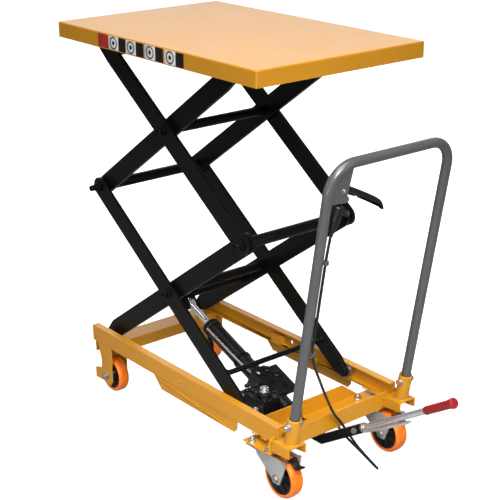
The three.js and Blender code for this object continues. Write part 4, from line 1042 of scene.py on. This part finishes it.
def make_socket_details():
    """Bolts through each socket, its rim and the weld beads at its foot."""
    for label, side in SIDES:
        y = side * HANDLE_HALF
        bolts = []
        for s in (-1, 1):
            way = Y_AXIS * s
            seat = on_handle(0, y, 38) + way * 14.6 * MM
            bolts += nut(seat, way, (8.6, 1.4, 3.5), 13, 5.6, chamfer=0.9, spin=0.4)
            if s == side:
                bolts.append(thread(seat, way, 3.8, 6.5, 11))
        show(f"socket_bolt_{label}", bolts, "zinc", "base")
        foot = on_handle(0, y, -7.6) + Z_AXIS * 0.8 * MM
        bead = [foot + spoke(X_AXIS * 17.4, Y_AXIS * 16.6, a) * MM for a in [*round_angles(56), 0.0]]
        rim = arc(on_handle(0, y, 52.5), OUT, Y_AXIS, 13.4, 0, 360, 48)
        welds = [weld_bead(bead, 2.3), tube(rim, 1.4, 10)]
        show(f"socket_welds_{label}", welds, "orange_paint", "base", (), 60.0)


# ---------- frame welds and bolts ----------
RAIL_WEB_Y = 173.0
RAIL_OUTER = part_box("rail_far")[1].y


def straight_bead(start, length, steps, radius, way=X_AXIS):
    """A weld bead of a length in metres."""
    return weld_bead(line(start, start + way * length, steps), radius)


def make_frame_welds():
    """Beads where the rails meet the tray and the cross member, and the seam along each rail's web."""
    tray_low, tray_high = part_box("caster_tray")
    cross_low, cross_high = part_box("rear_cross_member")
    beads = []
    for _, side in SIDES:
        for k in range(3):
            start = Vector((tray_low.x + (10 + 30 * k) * MM, side * (RAIL_OUTER + 1.2 * MM), 123.5 * MM))
            beads.append(straight_bead(start, 16 * MM, 12, 1.6))
        start = Vector((tray_low.x + 6 * MM, side * (RAIL_OUTER - 18 * MM), 123.2 * MM))
        beads.append(straight_bead(start, tray_high.x - tray_low.x - 14 * MM, 40, 1.5))
        for x in (cross_low.x + 2 * MM, cross_high.x - 2 * MM):
            start = Vector((x, side * 140 * MM, cross_high.z + 0.2 * MM))
            beads.append(straight_bead(start, 13 * MM, 10, 1.3, Y_AXIS * side))
        web = side * RAIL_WEB_Y
        beads.append(tube(line(at(-82, web, 123), at(205, web, 98), 40), 1.5, 10))
    show("frame_welds", beads, "orange_paint", "base", (), 60.0)


def make_fixed_wheel_nuts():
    nuts = []
    for label, side in SIDES:
        way = Y_AXIS * side
        seat = joint_at(f"fixed_wheel_{label}_spin")
        seat.y = side * RAIL_OUTER
        nuts += nut(seat, way, (10.0, 1.2, 5.0), 16, 5.0, chamfer=0.9, spin=0.5)
        nuts.append(turned(seat, way, [(6.2, 0), (6.2, 4.6), (7.6, 4.0), (7.6, 0)], 0.4, 28))
    show("fixed_wheel_nuts", nuts, "bare_steel", "base")


def make_lift_pivot_caps():
    """Bolt heads on the inside of the lower pivots."""
    cap = [(-0.5, 0), (-0.5, 10.5), (2.2, 10.5), (3.0, 8.0), (3.0, 0)]
    caps = []
    for side in (-1, 1):
        seat = joint_at("lift")
        seat.y = side * 129.2 * MM
        caps.append(turned(seat, -Y_AXIS * side, cap, 0.6, 36))
    show("lift_pivot_caps", caps, "black_paint", "base")


# ---------- studio ----------
CAMERA_AZIMUTH, CAMERA_ELEVATION, CAMERA_ROLL = 50.762, 20.137, -0.322
CAMERA_PLACE = at(2108.6, -1678.8, 1407.7)
CAMERA_LENS = 90.35
FLOOR_REACH = 30.0  # metres from the middle to an edge
SKY_GLOW = 0.16


def facing(azimuth, elevation, roll=0.0):
    """Rotation of something that looks at the object from an azimuth and elevation."""
    a, e, r = (math.radians(v) for v in (azimuth, elevation, roll))
    back = Vector((math.sin(a) * math.cos(e), -math.cos(a) * math.cos(e), math.sin(e)))
    right = Vector((math.cos(a), math.sin(a), 0))
    up = back.cross(right)
    turned_right = right * math.cos(r) + up * math.sin(r)
    turned_up = up * math.cos(r) - right * math.sin(r)
    return Matrix((turned_right, turned_up, back)).transposed().to_4x4()


def add_camera():
    """The photograph's camera."""
    data = bpy.data.cameras.new("camera")
    data.lens = CAMERA_LENS
    data.sensor_width = 36
    data.clip_start = 0.05
    camera = bpy.data.objects.new("camera", data)
    turn = facing(CAMERA_AZIMUTH, CAMERA_ELEVATION, CAMERA_ROLL)
    camera.matrix_world = Matrix.Translation(CAMERA_PLACE) @ turn
    bpy.context.scene.collection.objects.link(camera)
    bpy.context.scene.camera = camera


def add_softbox(name, azimuth, elevation, distance, size, power, aim=0.5, spread=180):
    """A soft light that looks at a height above the origin; a narrow spread throws its power forward."""
    data = bpy.data.lights.new(name, "AREA")
    data.shape = "RECTANGLE"
    data.size, data.size_y = size
    data.energy = power
    data.spread = math.radians(spread)
    lamp = bpy.data.objects.new(name, data)
    turn = facing(azimuth, elevation)
    centre = Vector((0, 0, aim))
    lamp.matrix_world = Matrix.Translation(centre + turn.to_3x3() @ Vector((0, 0, distance))) @ turn
    bpy.context.scene.collection.objects.link(lamp)


def add_floor():
    corners = [(x * FLOOR_REACH, y * FLOOR_REACH, 0) for x, y in ((-1, -1), (1, -1), (1, 1), (-1, 1))]
    floor = bpy.data.objects.new("floor", to_mesh("floor", [(corners, [(0, 1, 2, 3)])]))
    floor.data.materials.append(floor_finish("pale_floor"))
    bpy.context.scene.collection.objects.link(floor)


def add_world():
    """A sky that's white to the camera and dim to everything else."""
    world = bpy.data.worlds.new("studio")
    bpy.context.scene.world = world
    world.use_nodes = True
    tree = world.node_tree
    tree.nodes.clear()
    out = tree.nodes.new("ShaderNodeOutputWorld")
    rays = tree.nodes.new("ShaderNodeLightPath")
    mix = tree.nodes.new("ShaderNodeMixShader")
    tree.links.new(rays.outputs["Is Camera Ray"], mix.inputs[0])
    for strength, socket in ((SKY_GLOW, mix.inputs[1]), (1.0, mix.inputs[2])):
        sky = tree.nodes.new("ShaderNodeBackground")
        sky.inputs[0].default_value = (1, 1, 1, 1)
        sky.inputs[1].default_value = strength
        tree.links.new(sky.outputs[0], socket)
    tree.links.new(mix.outputs[0], out.inputs[0])


def add_studio():
    add_floor()
    add_world()
    add_softbox("key", 40, 66, 3.0, (2.4, 2.0), 88)
    add_softbox("low_key", 64, 40, 2.3, (0.9, 0.7), 4.5, aim=0.08, spread=50)
    add_softbox("low_front", 22, 9, 1.9, (1.8, 0.4), 2.2, aim=0.1, spread=70)
    add_softbox("left_fill", -20, 24, 3.6, (1.6, 2.6), 8)
    add_softbox("right_fill", 105, 18, 3.2, (1.6, 1.6), 6.5, aim=0.3)
    add_softbox("back_sheen", 231, 24, 4.2, (4.6, 2.2), 44)
    view = bpy.context.scene.view_settings
    view.view_transform = "Standard"
    view.look = "None"
    view.exposure = 0.0


# ---------- assembly ----------
keep_frame()
make_platform()
make_markings()
for side_label, _ in SIDES:
    make_wheel(f"fixed_wheel_{side_label}")
    make_wheel(f"caster_wheel_{side_label}")
    make_caster_fork(side_label)
    make_caster_brake(side_label)
    make_caster_bolts(side_label)
make_shaft("lower_centre_shaft", "lower_inner_arms", 11)
make_shaft("mid_roller_end_shaft", "lower_inner_arms", 12.5)
make_shaft("mid_pivot_end_shaft", "upper_inner_arms", 12.5)
make_shaft("upper_centre_shaft", "upper_inner_arms", 11)
make_rollers()
make_ties()
make_ram()
make_pump()
make_pedal()
make_handle()
make_release_lever()
make_cable_end()
make_cable()
make_socket_details()
make_frame_welds()
make_fixed_wheel_nuts()
make_lift_pivot_caps()
add_studio()
add_camera()
